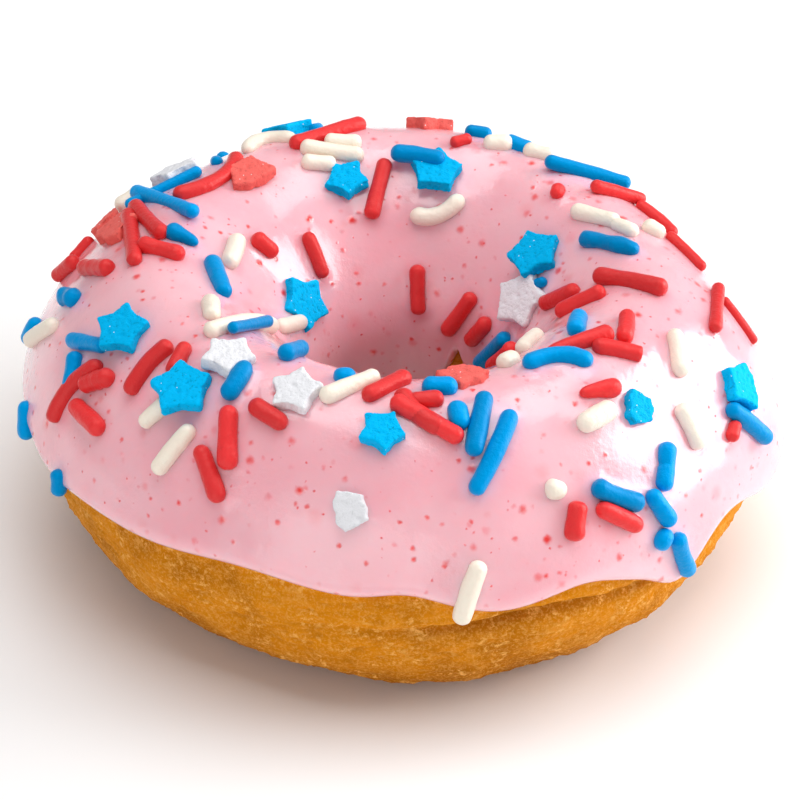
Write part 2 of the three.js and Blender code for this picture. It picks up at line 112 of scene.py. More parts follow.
# Icing.
ICING_GAP = 0.3
ICING_THICKNESS = 1.1
ICING_UNDERSIDE = -0.35  # it lies in the crumb, so no light shows between them
ICING_FOOT = -0.15
COVERED_INSET = 0.6  # how far the crust under the icing is kept below it
ICING_LIP_FADE = 6  # degrees over which its ripples die out at its edges
FLOW_WAVES = [(0.1, 4, 2), (0.07, 9, -3)]
FLOW_RIPPLES = [(0.06, 9), (0.025, 2.6)]  # height and size of what the set surface keeps of the flow
ICING_SWELLINGS = [(346, 13, 1.05), (45, 18, 0.4), (190, 16, 0.5)]
LIP_WIDTH = 4.5
OUTER_EDGE = 3
OUTER_RIPPLE = (7, 0.6)
OUTER_EDGE_RUNS = [
    (200, 10, -3),
    (245, 15, 5),
    (270, 6, 3.5),
    (284, 7, -3),
    (298, 6, 2.5),
    (316, 6, -9),
    (316, 13, -9.5),
    (341, 9, -11),
    (30, 12, -7),
    (75, 10, 4),
    (108, 9, -8),
    (150, 12, 4),
]
HOLE_EDGE = 188
HOLE_RIPPLE = (5, 1.5)
HOLE_EDGE_RUNS = [(56, 6, -9), (88, 26, 11), (124, 15, 8), (250, 30, 4), (330, 18, -4)]

# Strawberry bits in the icing: (mean distance as a share of the usual one, radius, share that is there,
# how much of their red shows through).
FLECKS = [(1.5, 1.3, 0.45, 0.24), (1, 0.7, 0.6, 0.95), (0.6, 0.42, 0.42, 0.9), (0.34, 0.22, 0.25, 0.8)]
FLECK_STRAY = 0.45  # how far their outlines wander
FLECK_LOT = 0.3  # share of the drawn flecks that show as much red as they can
FLECK_CORE = 0.15  # share of a fleck's radius that is red all over

# Where the icing wets a sprinkle it climbs a little; round the rods it is tinted, partly with their dye and
# partly with painted red bounce light and painted bluish shade.
WET_CLIMB = 0.16
WET_REACH = 0.55
DYE_AND_LIGHT_REACH = 0.8
RIM_WIDTH = 9  # how far the icing runs out thin at its lower edge, where it is painted pale with the light its rounded bead catches

# Sprinkles.
ROD_SET = 0.45  # height of a rod's centreline over the icing
ROD_RIDE = 0.7  # how far a straight rod follows the icing between its ends
KNEE_SHARE = 0.85  # how far a bent rod's middle goes to its middle place
SHORTEST_ROD = 0.4
ROD_SIDES = 16
ROD_CUTS = 8
ROD_HALF = 3  # half length of the rod that the others are copied from, in radii
ROD_CAP = 0.92  # length of its rounded end, in radii
ROD_CAP_STEPS = 5
ROD_DENTS = (0.07, 1.3)  # depth and size of the dents, in radii
STAR_WAIST = 0.64  # radius between two points, as a share of the radius at the points
BROKEN_POINT = 0.8  # radius where a point is broken off, as a share of the waist
STAR_SET = -0.45  # height of a star's underside over the icing
STAR_DIP = 0.75  # deepest that the low side of a leaning star goes into the icing
STAR_TIP_ROUND = 0.32
STAR_RIM_ROUND = 0.22
STAR_VOXEL = 0.17
STAR_GRAIN = (0.05, 0.5)  # height and size of the pressed grains
STAR_OUTLINE = [(0.25, 2.2), (0.1, 0.8)]  # how far the mould's outline is off, and over what length
STAR_PITS = (0.3, 0.6, 0.2)  # depth, spacing, and the noise value from which there is a pit
STAR_POINTS = 5

# How uneven the rods are.
FULL_TURN = 6.28
ROD_SWELL = 0.04
ROD_WAVES = (2, 4)  # range of how many radians of that swelling lie over half a rod
ROD_ENDS = (0.85, 1.1)  # range of how far an end is rounded, as a share of the usual cap
CUT_END = 0.22
ROD_BOW = 0.16  # most that a rod is bowed sideways
SHORTEST_SHAFT = 0.1

# Finish of the crust: its patterns, (name, size in millimetres, detail, roughness), and the layers of its
# colour, (what drives it, where it starts, where it is full, how strong it is there, colour). The torn
# grains show only where they stand in clusters.
CRUST_PATTERNS = [
    ("patches", 6.5, 4, 0.6),
    ("clusters", 2.8, 3, 0.5),
    ("grains", 0.75, 4, 0.7),
    ("powder", 0.3, 3, 0.7),
]
CRUST_LAYERS = [
    ("patches", 0.46, 0.68, 0.65, "crust_dark_and_shade"),
    # Here fried also carries painted shade underneath and in the crease's slit.
    ("fried", 0.3, 1, 0.9, "crust_dark_and_shade"),
    ("grains", 0.52, 0.62, 0.95, "crust_pale"),
    ("powder", 0.48, 0.62, 0.36, "crust_pale"),
    # Where the crumb lies low its hollows are darkened with painted shade; where it stands high it is paler.
    ("raised", 0.4, 0.1, 0.55, "crust_dark_and_shade"),
    ("raised", 0.66, 0.95, 0.35, "crust_pale"),
]

# Finish of the icing and the sugar.
DEEP_ICING = (0.99, 0.88, 0.9)  # where it lies thicker, as a share of its red, green and blue
# Tints of the icing: round the red rods part dye and part painted red bounce light, round the blue rods part
# dye and part painted bluish shade, and at the lower edge a painted pale band of light.
DYES_AND_PAINTED_LIGHT = [("red_dye", 0.3, "#f0788a"), ("blue_dye", 0.22, "#b9c0e6"), ("rim", 0.4, "#fad2d9")]
PASTE_WHITE = 0.35  # how much paler a broken end is
STAR_TONE = 0.4  # how much the stars of one colour differ
STAR_CRYSTAL = 0.42
STAR_PAINTED_GLINTS = (0.16, 0.87, 0.75)  # reach in its cell, draw from which a crystal gets a painted glint, how much

# Steps of the meshes, and which share of the rows lies where: (share, across).
CAKE_ROUND = 640
CAKE_OVER = 150
CAKE_ROWS = [(0, -90), (0.1, -62), (0.58, 14), (0.66, 172), (0.86, 225), (1, 270)]
ICING_ROUND = 520
ICING_OVER = 186
ICING_TOP_SHARE = 0.8
ICING_ROW_EASE = 0.6  # how much closer the rows lie at both lips

# Studio: the camera looks at a point on the ring's axis.
LOOK_AT = (-BOX_CENTRE[0], -BOX_CENTRE[1], 15.9)
CAMERA_ELEVATION = 35
CAMERA_DISTANCE = 400
CAMERA_LENS = 163.8
CAMERA_SENSOR = 36
CAMERA_SHIFT = (-0.0075, -0.0031)
FLOOR_SIZE = 3000
# Soft boxes: name, bearing, elevation, distance, width, height, power in watts.
LAMPS = [
    ("window_right", 8, 20, 420, 300, 330, 1.9),
    ("front_fill", -112, 12, 420, 400, 260, 0.46),
    ("ceiling_bounce", 60, 84, 500, 500, 500, 2.0),
]

WORLD_LIGHT = 0.33

# Places of the colour Mix node's sockets, which share their names with those of its other kinds.
MIX = {"data_type": "RGBA"}
MIX_SHARE, MIX_UNDER, MIX_OVER, MIX_RESULT = 0, 6, 7, 2

# Finishes of the rods that are not plain.
PLAIN, RIDGED, TAPERED, TEARDROP, CUT, BEAN, KNOBBLY, CRACKED = range(8)


def rod(path, thick=1, lift=0, finish=PLAIN):
    """A rod along its [bearing, across] places; lift is extra height where it lies on its neighbours."""
    return {"path": path, "thick": thick, "lift": lift, "finish": finish}


RED_RODS = [
    rod([(162, 37), (159, 44.5)], 0.8, -0.05),
    rod([(165.5, 31.5), (167, 45.5)], 0.9, 0.3),
    rod([(172.2, 54.5), (178.8, 69)], finish=RIDGED),
    rod([(159.5, 71), (179.5, 80.5)], 0.95),
    rod([(157, 71), (170, 89)], 0.95),
    rod([(174, 81), (178, 95)]),
    rod([(132, 82), (142, 91), (153, 83)]),
    rod([(152.5, 117.5), (150.4, 126.5)]),
    rod([(132.2, 128.5), (134.2, 145.5)], 0.85),
    rod([(202, 50), (198.5, 34), (200, 21)]),
    rod([(202, 40), (206, 51)], 1.05, 0.15, RIDGED),
    rod([(203, 32), (211, 33)], 1.1),
    rod([(212, 76), (211, 65), (212.5, 53)]),
    rod([(215, 79.5), (218, 69)], 0.95),
    rod([(232, 47), (238, 31)]),
    rod([(234, 66), (238, 45)], 1.1),
    rod([(238.5, 70.5), (245.5, 67)], 1.05),
    rod([(261, 84.5), (269.5, 99)]),
    rod([(269.5, 87), (272, 78), (277, 73)], 1.05),
    rod([(268, 83), (280, 68.5)], 1.05),
    rod([(271.5, 84), (277.5, 84.5)], 0.95),
    rod([(84, 149.5), (82, 166)], 0.92),
    rod([(50, 155), (62, 171)], 0.97),
    rod([(32, 160), (43, 171)], 0.97),
    rod([(352, 155), (372, 172)]),
    rod([(118, 90), (99.5, 79)]),
    rod([(96, 104.5), (103, 127)], 0.95),
    rod([(77.5, 92.5), (74, 88)], 0.75),
    rod([(34, 86), (31, 63)], 0.8, 0.25),
    rod([(29, 67), (24.5, 62), (19, 61.5)], 0.75, 0.1),
    rod([(14.5, 69.5), (4.5, 62.5)], 0.65),
    rod([(39.3, 98.5), (40.3, 96.5)], 0.85),
    rod([(50, 84), (47, 80)], 0.6),
    rod([(362, 134.5), (353.5, 116)], 0.95, 0, CUT),
    rod([(342, 120), (345.2, 102.5)]),
    rod([(353, 106), (346.6, 81)], 1.05),
    rod([(325.5, 87.5), (311, 97)], 1.1, 0, TAPERED),
    rod([(326, 82), (334.3, 88)], 0.95),
    rod([(326, 73), (319.5, 86.5)], 0.95, 0, CUT),
    rod([(314.8, 69.5), (308, 73.5)], 1.05, 0, TEARDROP),
    rod([(358.5, 59.5), (344.5, 59.5)], 0.78),
    rod([(356.5, 55.5), (352.5, 37)], 0.62, -0.2),
    rod([(334.2, 27.5), (332, 24.5)], 0.8),
    rod([(301.5, 30), (307, 19)]),
    rod([(298, 34), (296, 23)], 1.1),
]

WHITE_RODS = [
    rod([(151.5, 53), (147.5, 58)], 1.1, 0.3),
    rod([(127.5, 82), (121.5, 74), (117.5, 85)]),
    rod([(159, 113), (172, 114)], 1.1, 0, BEAN),
    rod([(200, 101), (208, 97)], 1.05),
    rod([(214.5, 90), (210, 109), (197, 133)], 1.05),
    rod([(187, 143), (163, 155)], 0.95),
    rod([(178, 20), (183, 38)]),
    rod([(219, 46), (221, 58)], 0.95),
    rod([(228.5, 53), (226, 33)]),
    rod([(252, 81), (261.5, 96.5)], 1.05),
    rod([(110, 91), (102.5, 94)], 1, 0.1),
    rod([(117, 92.5), (103.5, 101)]),
    rod([(119, 99.5), (111.5, 103)]),
    rod([(71, 116), (77, 127), (86.5, 125)], 1.05),
    rod([(69, 88), (64, 84)], 1.1),
    rod([(59, 84), (53, 81)]),
    rod([(29, 99), (18, 90)]),
    rod([(17, 91), (12, 87)], 0.9),
    rod([(16, 79), (13, 75)]),
    rod([(328, 124), (313, 117)]),
    rod([(298, 103), (303, 106)], 1.05),
    rod([(336.2, 70.5), (330.2, 59)]),
    rod([(304, 63), (311, 64)], 1.15, 0, BEAN),
    rod([(325.5, 48), (324.8, 31)]),
    rod([(294, 43), (296, 41)], 1.1, -0.2),
    rod([(281, 20), (278, 1)], 1.05),
]

BLUE_RODS = [
    rod([(155.5, 65), (142.5, 81.5)], 0.7, 0.1),
    rod([(150.5, 63), (160, 97)], 0.9),
    rod([(135.3, 78.5), (134.5, 75)], 0.7, -0.12),
    rod([(168.5, 90), (171, 99.5)], 1.05, 0, TEARDROP),
    rod([(177, 44), (181, 51)], 1.05, 0, KNOBBLY),
    rod([(174.5, 15), (174.5, 24)], 0.95),
    rod([(191, 45.5), (199, 57)], 0.92),
    rod([(195, 44), (199, 34.5)], 0.98),
    rod([(188.3, 9.5), (189.8, -0.5)], 0.98, -0.1),
    rod([(205.5, 7.5), (206, 1)], 0.95),
    rod([(175.5, 107.2), (191, 111)], 1.05),
    rod([(218.8, 95), (209, 121)], 0.68, 0.5),
    rod([(231, 84), (232, 71)], 1.1),
    rod([(234.8, 110.5), (236.8, 95.5)], 1, 0.3),
    rod([(253.2, 93), (255.3, 94.5)]),
    rod([(274.7, 91.5), (281.2, 91)], 1.12, 0, BEAN),
    rod([(281, 81), (281, 73)], 1.1),
    rod([(287, 83.5), (282, 62.5)], 1.05),
    rod([(291, 74.5), (286.2, 61.3), (281.5, 47.5)]),
    rod([(93, 103), (79, 104)], 1.05, 1),
    rod([(110.5, 76), (108.5, 72)], 0.7, -0.2),
    rod([(75.2, 81), (70.5, 80)], 0.9),
    rod([(65, 82), (59, 82)]),
    rod([(49, 91), (36.5, 63.5)], 0.9, 0.35),
    rod([(16, 105), (9.8, 98.3), (3.5, 91)], 1, 0, KNOBBLY),
    rod([(14.6, 131), (13.6, 129.6)], 0.65),
    rod([(331, 104), (322, 98)], 1.05),
    rod([(302, 94.5), (311, 93), (313.5, 82.5)], 1.05),
    rod([(8, 158), (27, 176)]),
    rod([(334.8, 33), (339.5, 13.5)]),
    rod([(318, 39), (314, 27)], 1.05, 0, CRACKED),
    rod([(302, 38.5), (305, 31.5), (308.5, 26.5)], 1.1),
    rod([(311.3, 26.5), (313.3, 14.5)], 1.05),
    rod([(310.7, 9.5), (311.7, 11)], 1.05),
    rod([(314.2, 8), (316.8, -8.5)]),
]


def star(place, turn, size=1, whole=5, lift=0, lean=(0, 0), fill=0):
    """A star at one place: turn is its first point's heading, whole the number of unbroken points, lean
    how far the side towards the hole and the side of the lower bearings stand up, and fill the share of
    the notches between its points that is filled."""
    return {
        "place": place,
        "turn": turn,
        "size": size,
        "whole": whole,
        "lift": lift,
        "lean": lean,
        "fill": fill,
    }


BLUE_STARS = [
    star((200.2, 66), 63, 0.98, 5, 0.7, (-15, 13)),
    star((223, 64.6), 58, 1.09, 5, 0, (-18, 9)),
    star((152.5, 150.3), 54, 1.05),
    star((109, 111.4), 10, 0.81, 5, 0, (12, 8)),
    star((80.4, 108.5), 58, 1, 5, 0, (16, -6)),
    star((25.6, 124.5), 46, 1.02, 5, 0, (18, -7)),
    star((265.4, 69.9), 65, 0.8, 5, 0, (-9, 4)),
    star((316.2, 58.8), 216, 0.64, 4, 0, (0, 0), 0.4),
    star((339.8, 35.4), 31, 0.92, 4, 0, (-5, 8), 0.15),
    star((114.5, 69), 0, 1, 5, 0.3),
]

WHITE_STARS = [
    star((142.5, 70), 30, 1, 5, 0.5),
    star((225.4, 84.9), 25, 0.98, 5, 0, (-7, 4)),
    star((245.5, 80.7), 25, 0.94, 5, 0, (0, -6)),
    star((15.6, 142.1), 6, 1.12, 5, 0.3, (4, -10)),
    star((260.6, 38.7), 270, 0.7, 4, 0, (0, 0), 0.4),
]

RED_STARS = [
    star((135.3, 96.5), 152, 0.95, 4, 0.2, (5, 6)),
    star((164, 66), 30, 1, 4, 0, (0, 0), 0.3),
    star((156.5, 51), 20, 0.8, 3, 0.1, (0, 0), 0.4),
    star((84.5, 69), 10, 0.95, 5, 0.1),
    star((284.7, 98), 0, 0.95, 3, -0.2, (0, 0), 0.3),
]

# The rest lie where the far flank and the near wall of the hole go down steeply, spread evenly:
# (first bearing, last, first across, last, how many).
SCATTER_SEED = 11
SCATTER_SPACING = 4.6
SCATTER_TRIES = 4000
SCATTERED_ROD = (4.5, 8)
SCATTER_STAR_SHARE = 0.14
SCATTER_FIELDS = [(26, 50, 3, 14, 4), (50, 130, 12, 33, 12), (124, 142, 2, 9, 3), (228, 325, 152, 170, 4)]
SHAPE_SEED = 5


def srgb(code):
    """Linear colour of an sRGB hex value."""
    channels = [int(code[i : i + 2], 16) / 255 for i in (1, 3, 5)]
    return tuple(c / 12.92 if c <= 0.04045 else ((c + 0.055) / 1.055) ** 2.4 for c in channels)


def length(name, text, default):
    return FloatProperty(name=name, description=text, default=default * MM, unit="LENGTH", min=0)


def colour(name, text, code):
    return FloatVectorProperty(name=name, description=text, default=srgb(code), subtype="COLOR", min=0, max=1)


class DoughnutSizes(bpy.types.PropertyGroup):
    """Sizes of the icing and the sprinkles."""

    lip_bead: length("Lip bead", "How much thicker the icing sets behind its edge", 0.25)
    rod_radius: length("Rod radius", "Half the thickness of a usual rod sprinkle", 0.95)
    star_radius: length("Star radius", "From a usual star's middle to its points", 3.25)
    star_thickness: length("Star thickness", "Thickness of the pressed stars", 1.5)
    fleck_spacing: length("Fleck spacing", "Mean distance between strawberry flecks in the icing", 2.5)


class DoughnutColours(bpy.types.PropertyGroup):
    """Colours of the cake, the icing and the sprinkles."""

    crust: colour("Crust", "Golden brown of the fried crust", "#d88402")
    # Besides real dark patches, this colour lays painted shade underneath, in the crease's slit and in the
    # crumb's hollows.
    crust_dark_and_shade: colour("Dark crust", "Where it fried longest", "#a25c00")
    crust_pale: colour("Pale crumb", "Grains of pale crumb", "#efb25c")
    icing: colour("Icing", "Pale strawberry pink", "#fbbcc5")
    fleck: colour("Fleck", "Bits of strawberry in the icing", "#ec2a24")
    red: colour("Red sugar", "Red rods", "#f03a3c")
    cream: colour("White sugar", "Cream white rods", "#f8ecdb")
    blue: colour("Blue sugar", "Blue rods", "#009ce2")
    star_blue: colour("Star blue", "Blue pressed stars", "#00bcf8")
    star_white: colour("Star white", "White pressed stars", "#eeeef2")
    star_red: colour("Star red", "Coral red pressed stars", "#fb7068")


# --- The ring's surface -------------------------------------------------------------------------------


def swelling(bearing, swellings):
    total = np.zeros_like(bearing)
    for at, width, height in swellings:
        away = (bearing - at + 180) % 360 - 180
        total = total + height * np.exp(-((away / width) ** 2))
    return total


def smoothstep(x, low, high):
    t = np.clip((x - low) / (high - low), 0, 1)
    return t * t * (3 - 2 * t)


def ring_point(bearing, across, out=0.0):
    """Points of the ring's surface, moved out along its section's normal, in millimetres."""
    bearing, across = np.asarray(bearing, float), np.asarray(across, float)
    t = np.radians(across)
    half = swelling(bearing, RING_BULGES) / 2
    width = HALF_WIDTH + half
    squeeze = np.where(np.sin(t) > 0, CREST_SQUEEZE, 0)
    scale = (1 + squeeze * np.cos(4 * t)) / (1 + squeeze)
    slope = -4 * squeeze * np.sin(4 * t) / (1 + squeeze)
    dx = width * (slope * np.cos(t) - scale * np.sin(t))
    dz = HALF_HEIGHT * (slope * np.sin(t) + scale * np.cos(t))
    steep = np.hypot(dx, dz)
    radius = RING_RADIUS + half + width * scale * np.cos(t) + out * dz / steep
    height = HALF_HEIGHT - FLAT_DEPTH + HALF_HEIGHT * scale * np.sin(t) - out * dx / steep
    b = np.radians(bearing)
    x = radius * np.cos(b) - BOX_CENTRE[0]
    y = radius * np.sin(b) - BOX_CENTRE[1]
    return np.stack([x, y, np.maximum(height, 0)], -1)


def ripple(bearing, waves, height):
    return height * np.sin(np.radians(waves * bearing))


def outer_edge(bearing):
    return OUTER_EDGE + ripple(bearing, *OUTER_RIPPLE) + swelling(bearing, OUTER_EDGE_RUNS)


def hole_edge(bearing):
    return HOLE_EDGE + ripple(bearing, *HOLE_RIPPLE) + swelling(bearing, HOLE_EDGE_RUNS)


def crease_across(bearing):
    return CREASE_ACROSS + swelling(bearing, CREASE_RISES)


def icing_height(bearing, across):
    """Height of the icing's top over the cake, well inside its edges."""
    b, t = np.radians(bearing), np.radians(across)
    height = ICING_GAP + ICING_THICKNESS
    for wave, around, over in FLOW_WAVES:
        height = height + wave * np.sin(around * b + over * t)
    return height + swelling(bearing, ICING_SWELLINGS) * np.maximum(0, np.cos(t))


def icing_frame(place, height):
    """Point over the icing at a place, and its axes: out of the surface, round the ring, over the section."""
    step = 0.5

    def at(bearing, across):
        bearing, across = np.float64(bearing), np.float64(across)
        return Vector(ring_point(bearing, across, icing_height(bearing, across)))

    bearing, across = place
    along = (at(bearing + step, across) - at(bearing - step, across)).normalized()
    over = (at(bearing, across + step) - at(bearing, across - step)).normalized()
    out = along.cross(over).normalized()
    return at(bearing, across) + out * height, out, along


def noise_at(points, size, shift=0.0):
    """Smooth noise from -1 to 1 at points in millimetres, for grains of that size."""
    return np.array([noise.noise(Vector(p)) for p in points / size + shift])


# --- Meshes -------------------------------------------------------------------------------------------


def deselect_all():
    bpy.ops.object.select_all(action="DESELECT")


def read_points(obj):
    flat = np.empty(3 * len(obj.data.vertices))
    obj.data.vertices.foreach_get("co", flat)
    return flat.reshape(-1, 3) / MM


def write_points(obj, points):
    obj.data.vertices.foreach_set("co", (np.asarray(points) * MM).ravel())
    obj.data.update()


def read_normals(obj):
    flat = np.empty(3 * len(obj.data.vertices))
    obj.data.vertices.foreach_get("normal", flat)
    return flat.reshape(-1, 3)


def write_attribute(obj, name, values):
    made = obj.data.attributes.new(name, "FLOAT", "POINT")
    made.data.foreach_set("value", np.asarray(values, np.float32))


def select_edges(obj, test):
    """In edit mode, selects the edges whose two ends, in millimetres, pass the test."""
    mesh = bmesh.from_edit_mesh(obj.data)
    for item in [*mesh.verts, *mesh.edges, *mesh.faces]:
        item.select = False
    for edge in mesh.edges:
        edge.select = bool(test(edge.verts[0].co / MM, edge.verts[1].co / MM))
    bmesh.update_edit_mesh(obj.data)


def select_points(obj, test):
    """In edit mode, selects the points that pass the test."""
    mesh = bmesh.from_edit_mesh(obj.data)
    for item in [*mesh.faces, *mesh.edges, *mesh.verts]:
        item.select = False
    for point in mesh.verts:
        point.select = bool(test(point.co / MM))
    bmesh.update_edit_mesh(obj.data)


def add_plain_ring(name, around, over):
    """A torus, and each vertex's bearing and its share of the way over the section."""
    deselect_all()
    bpy.ops.mesh.primitive_torus_add(
        major_segments=around,
        minor_segments=over,
        major_radius=RING_RADIUS * MM,
        minor_radius=HALF_WIDTH * MM,
        generate_uvs=False,
    )
    ring = bpy.context.active_object
    ring.name = ring.data.name = name
    x, y, z = read_points(ring).T
    bearing = np.degrees(np.arctan2(y, x)) % 360
    share = np.degrees(np.arctan2(z, np.hypot(x, y) - RING_RADIUS)) / 360 % 1
    share = np.round(share * over) % over / over
    return ring, bearing, share


def finish_piece(obj, material, slot, *nodes):
    """Gives a piece its material and smooth shading, and puts it on its body in place of its nodes."""
    deselect_all()
    obj.select_set(True)
    bpy.context.view_layer.objects.active = obj
    bpy.ops.object.shade_smooth()
    obj.data.materials.clear()
    obj.data.materials.append(material)
    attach(obj, BODY)
    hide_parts(*nodes)


def crust_relief(bearing, across):
    """Relief of the crust: the solid's soft bumps and crease, the slit in the crease and the crumb."""
    b, t = np.radians(bearing), np.radians(across)
    near = (across + 180) % 360 - 180
    in_hole = (across > 90) & (across < 270)
    past = np.where(in_hole, across - hole_edge(bearing), outer_edge(bearing) - near)
    off_flat = np.minimum(1, (1 + np.sin(t)) * FLAT_FADE)
    bare = smoothstep(past, *BUMPS_FADE) * off_flat
    bumps = sum(share * np.sin(around * b + over * t + phase) for share, around, over, phase in CRUST_WAVES)
    crease = near - crease_across(bearing)
    stretch = swelling(bearing, CREASE_STRETCHES)
    slit_depth, slit_width = CREASE_SLIT
    lip_height, lip_away, lip_width = CREASE_LIP
    groove = CREASE_DEPTH * np.exp(-((crease / CREASE_WIDTH) ** 2))
    groove = groove + slit_depth * np.exp(-((crease / slit_width) ** 2))
    fold = lip_height * np.exp(-(((crease - lip_away) / lip_width) ** 2))
    relief = CRUST_BUMP * bare * bumps + (fold - groove) * stretch

    points = ring_point(bearing, across)
    crumb = sum(height * noise_at(points, size, shift) for height, size, shift in CRUMB)
    flake_height, flake_size, flake_shift, flake_from = CRUMB_FLAKES
    crumb += flake_height * np.maximum(0, noise_at(points, flake_size, flake_shift) - flake_from)
    relief = relief + crumb * smoothstep(past, *CRUMB_FADE) * off_flat
    return relief - COVERED_INSET * (1 - smoothstep(past, *INSET_FADE)), np.clip(0.5 + crumb, 0, 1)


def fry_and_shade_tone(bearing, across):
    """How dark the crust is, from 0 on the pale fold to 1 with painted shade underneath and in the crease's
    slit.
    """
    near = (across + 180) % 360 - 180
    in_hole = (across > 90) & (across < 270)
    under = smoothstep(-near, *UNDER_SHADE_FROM_OUTSIDE)
    under = np.where(in_hole, smoothstep(across, *UNDER_SHADE_FROM_HOLE), under)
    crease = near - crease_across(bearing)
    stretch = swelling(bearing, CREASE_STRETCHES)
    slit_below, slit_width = SLIT_SHADE
    slit = np.exp(-(((crease + slit_below) / slit_width) ** 2)) * stretch
    _, lip_away, lip_width = CREASE_LIP
    fold = np.exp(-(((crease - lip_away) / lip_width) ** 2)) * stretch
    return np.clip(FRY_USUAL + UNDER_SHADE * under + SLIT_SHADE_SHARE * slit - FRY_FOLD * fold, 0, 1)


def icing_profile(bearing, across, lip_bead):
    """Height of the icing's top over the cake, with its outer lip and its lip in the hole rounded down."""
    from_edge = np.minimum(across - outer_edge(bearing), hole_edge(bearing) - across)
    in_lip = np.clip(from_edge / LIP_WIDTH, 0, 1)
    rounding = np.sqrt(1 - (1 - in_lip) ** 2)
    bead = lip_bead * np.exp(-(((from_edge - LIP_WIDTH) / LIP_WIDTH) ** 2))
    return ICING_FOOT + (icing_height(bearing, across) - ICING_FOOT + bead) * rounding


def closeness(points, centres, reach):
    """How close points lie to a line of centres, from 1 at it to 0 well away."""
    low, high = centres.min(0) - 4 * reach, centres.max(0) + 4 * reach
    near = np.nonzero(((points > low) & (points < high)).all(1))[0]
    found = np.zeros(len(points))
    if len(near):
        apart = points[near][:, None, :] - centres[None]
        nearest = np.sqrt((apart**2).sum(2)).min(1)
        found[near] = np.exp(-((np.maximum(nearest - 1, 0) / reach) ** 2))
    return found


# --- Sprinkles ----------------------------------------------------------------------------------------


class Draw:
    """Seeded draws from 0 to 1."""

    def __init__(self, seed):
        self.state = seed

    def one(self):
        self.state = self.state * 16807 % 2147483647
        return self.state / 2147483647

    def between(self, low, high):
        return low + (high - low) * self.one()


def scatter(taken):
    """Even scatter from one seed: keeps the places that are far enough from every sprinkle so far."""
    draw = Draw(SCATTER_SEED)
    rods, stars = [], []
    for from_bearing, to_bearing, from_across, to_across, count in SCATTER_FIELDS:
        left = count
        for _ in range(SCATTER_TRIES):
            if left == 0:
                break
            place = (draw.between(from_bearing, to_bearing), draw.between(from_across, to_across))
            heading = draw.between(0, math.pi)
            reach = draw.between(*SCATTERED_ROD)
            is_star = draw.one() < SCATTER_STAR_SHARE
            point, _, _ = icing_frame(place, 0)
            if any((other - point).length < SCATTER_SPACING for other in taken):
                continue
            taken.append(point)
            left -= 1
            if is_star:
                stars.append(star(place, math.degrees(heading)))
                continue
            radius = math.hypot(point.x + BOX_CENTRE[0], point.y + BOX_CENTRE[1])
            half = math.degrees(reach / 2)
            half_bearing = half * math.cos(heading) / radius
            half_across = half * math.sin(heading) / (HALF_HEIGHT + ICING_THICKNESS)
            ends = [
                (place[0] - half_bearing, place[1] - half_across),
                (place[0] + half_bearing, place[1] + half_across),
            ]
            rods.append(rod(ends))
    return rods, stars


def all_sprinkles():
    """Every sprinkle by kind; the scattered ones are dealt out among the colours in turn."""
    listed_rods = [*RED_RODS, *WHITE_RODS, *BLUE_RODS]
    listed_stars = [*BLUE_STARS, *WHITE_STARS, *RED_STARS]
    taken = [icing_frame(r["path"][1 if len(r["path"]) > 2 else 0], 0)[0] for r in listed_rods]
    taken += [icing_frame(s["place"], 0)[0] for s in listed_stars]
    rods, stars = scatter(taken)
    return {
        "rods_red": RED_RODS + rods[0::3],
        "rods_white": WHITE_RODS + rods[1::3],
        "rods_blue": BLUE_RODS + rods[2::3],
        "stars_blue": BLUE_STARS + stars[0::3],
        "stars_white": WHITE_STARS + stars[1::3],
        "stars_red": RED_STARS + stars[2::3],
    }


def rod_line(spec, radius):
    """Middle, half length along its chord, unit chord, bend and outward axis of a rod."""
    path, lift = spec["path"], spec["lift"]
    bent = len(path) > 2
    first, last = path[0], path[-1]
    between = path[1] if bent else ((first[0] + last[0]) / 2, (first[1] + last[1]) / 2)
    start, knee, end = [icing_frame(at, ROD_SET + lift)[0] for at in (first, between, last)]
    out = icing_frame(between, 0)[1]
    middle = (start + end) / 2
    chord = end - start
    half = max(chord.length - radius, SHORTEST_ROD) / 2 + radius
    if bent:
        bend = (knee - middle) * KNEE_SHARE
    else:
        bend = Vector((0, 0, 0))
        middle = middle.lerp(knee, ROD_RIDE)
    return middle, half, chord.normalized(), bend, out


def add_plain_rod():
    """A cylinder along Z with rings to bend it at and rounded ends, one radius of one millimetre thick."""
    deselect_all()
    bpy.ops.mesh.primitive_cylinder_add(vertices=ROD_SIDES, radius=MM, depth=2 * ROD_HALF * MM)
    plain = bpy.context.active_object
    bpy.ops.object.mode_set(mode="EDIT")
    bpy.ops.mesh.select_mode(type="EDGE")
    select_edges(plain, lambda a, b: abs(a.z + b.z) > 2 * ROD_HALF - 0.01)
    bpy.ops.mesh.bevel(offset=ROD_CAP * MM, segments=ROD_CAP_STEPS, affect="EDGES")
    select_edges(plain, lambda a, b: abs(a.z - b.z) > 1)
    bpy.ops.mesh.subdivide(number_cuts=ROD_CUTS)
    bpy.ops.object.mode_set(mode="OBJECT")
    return plain


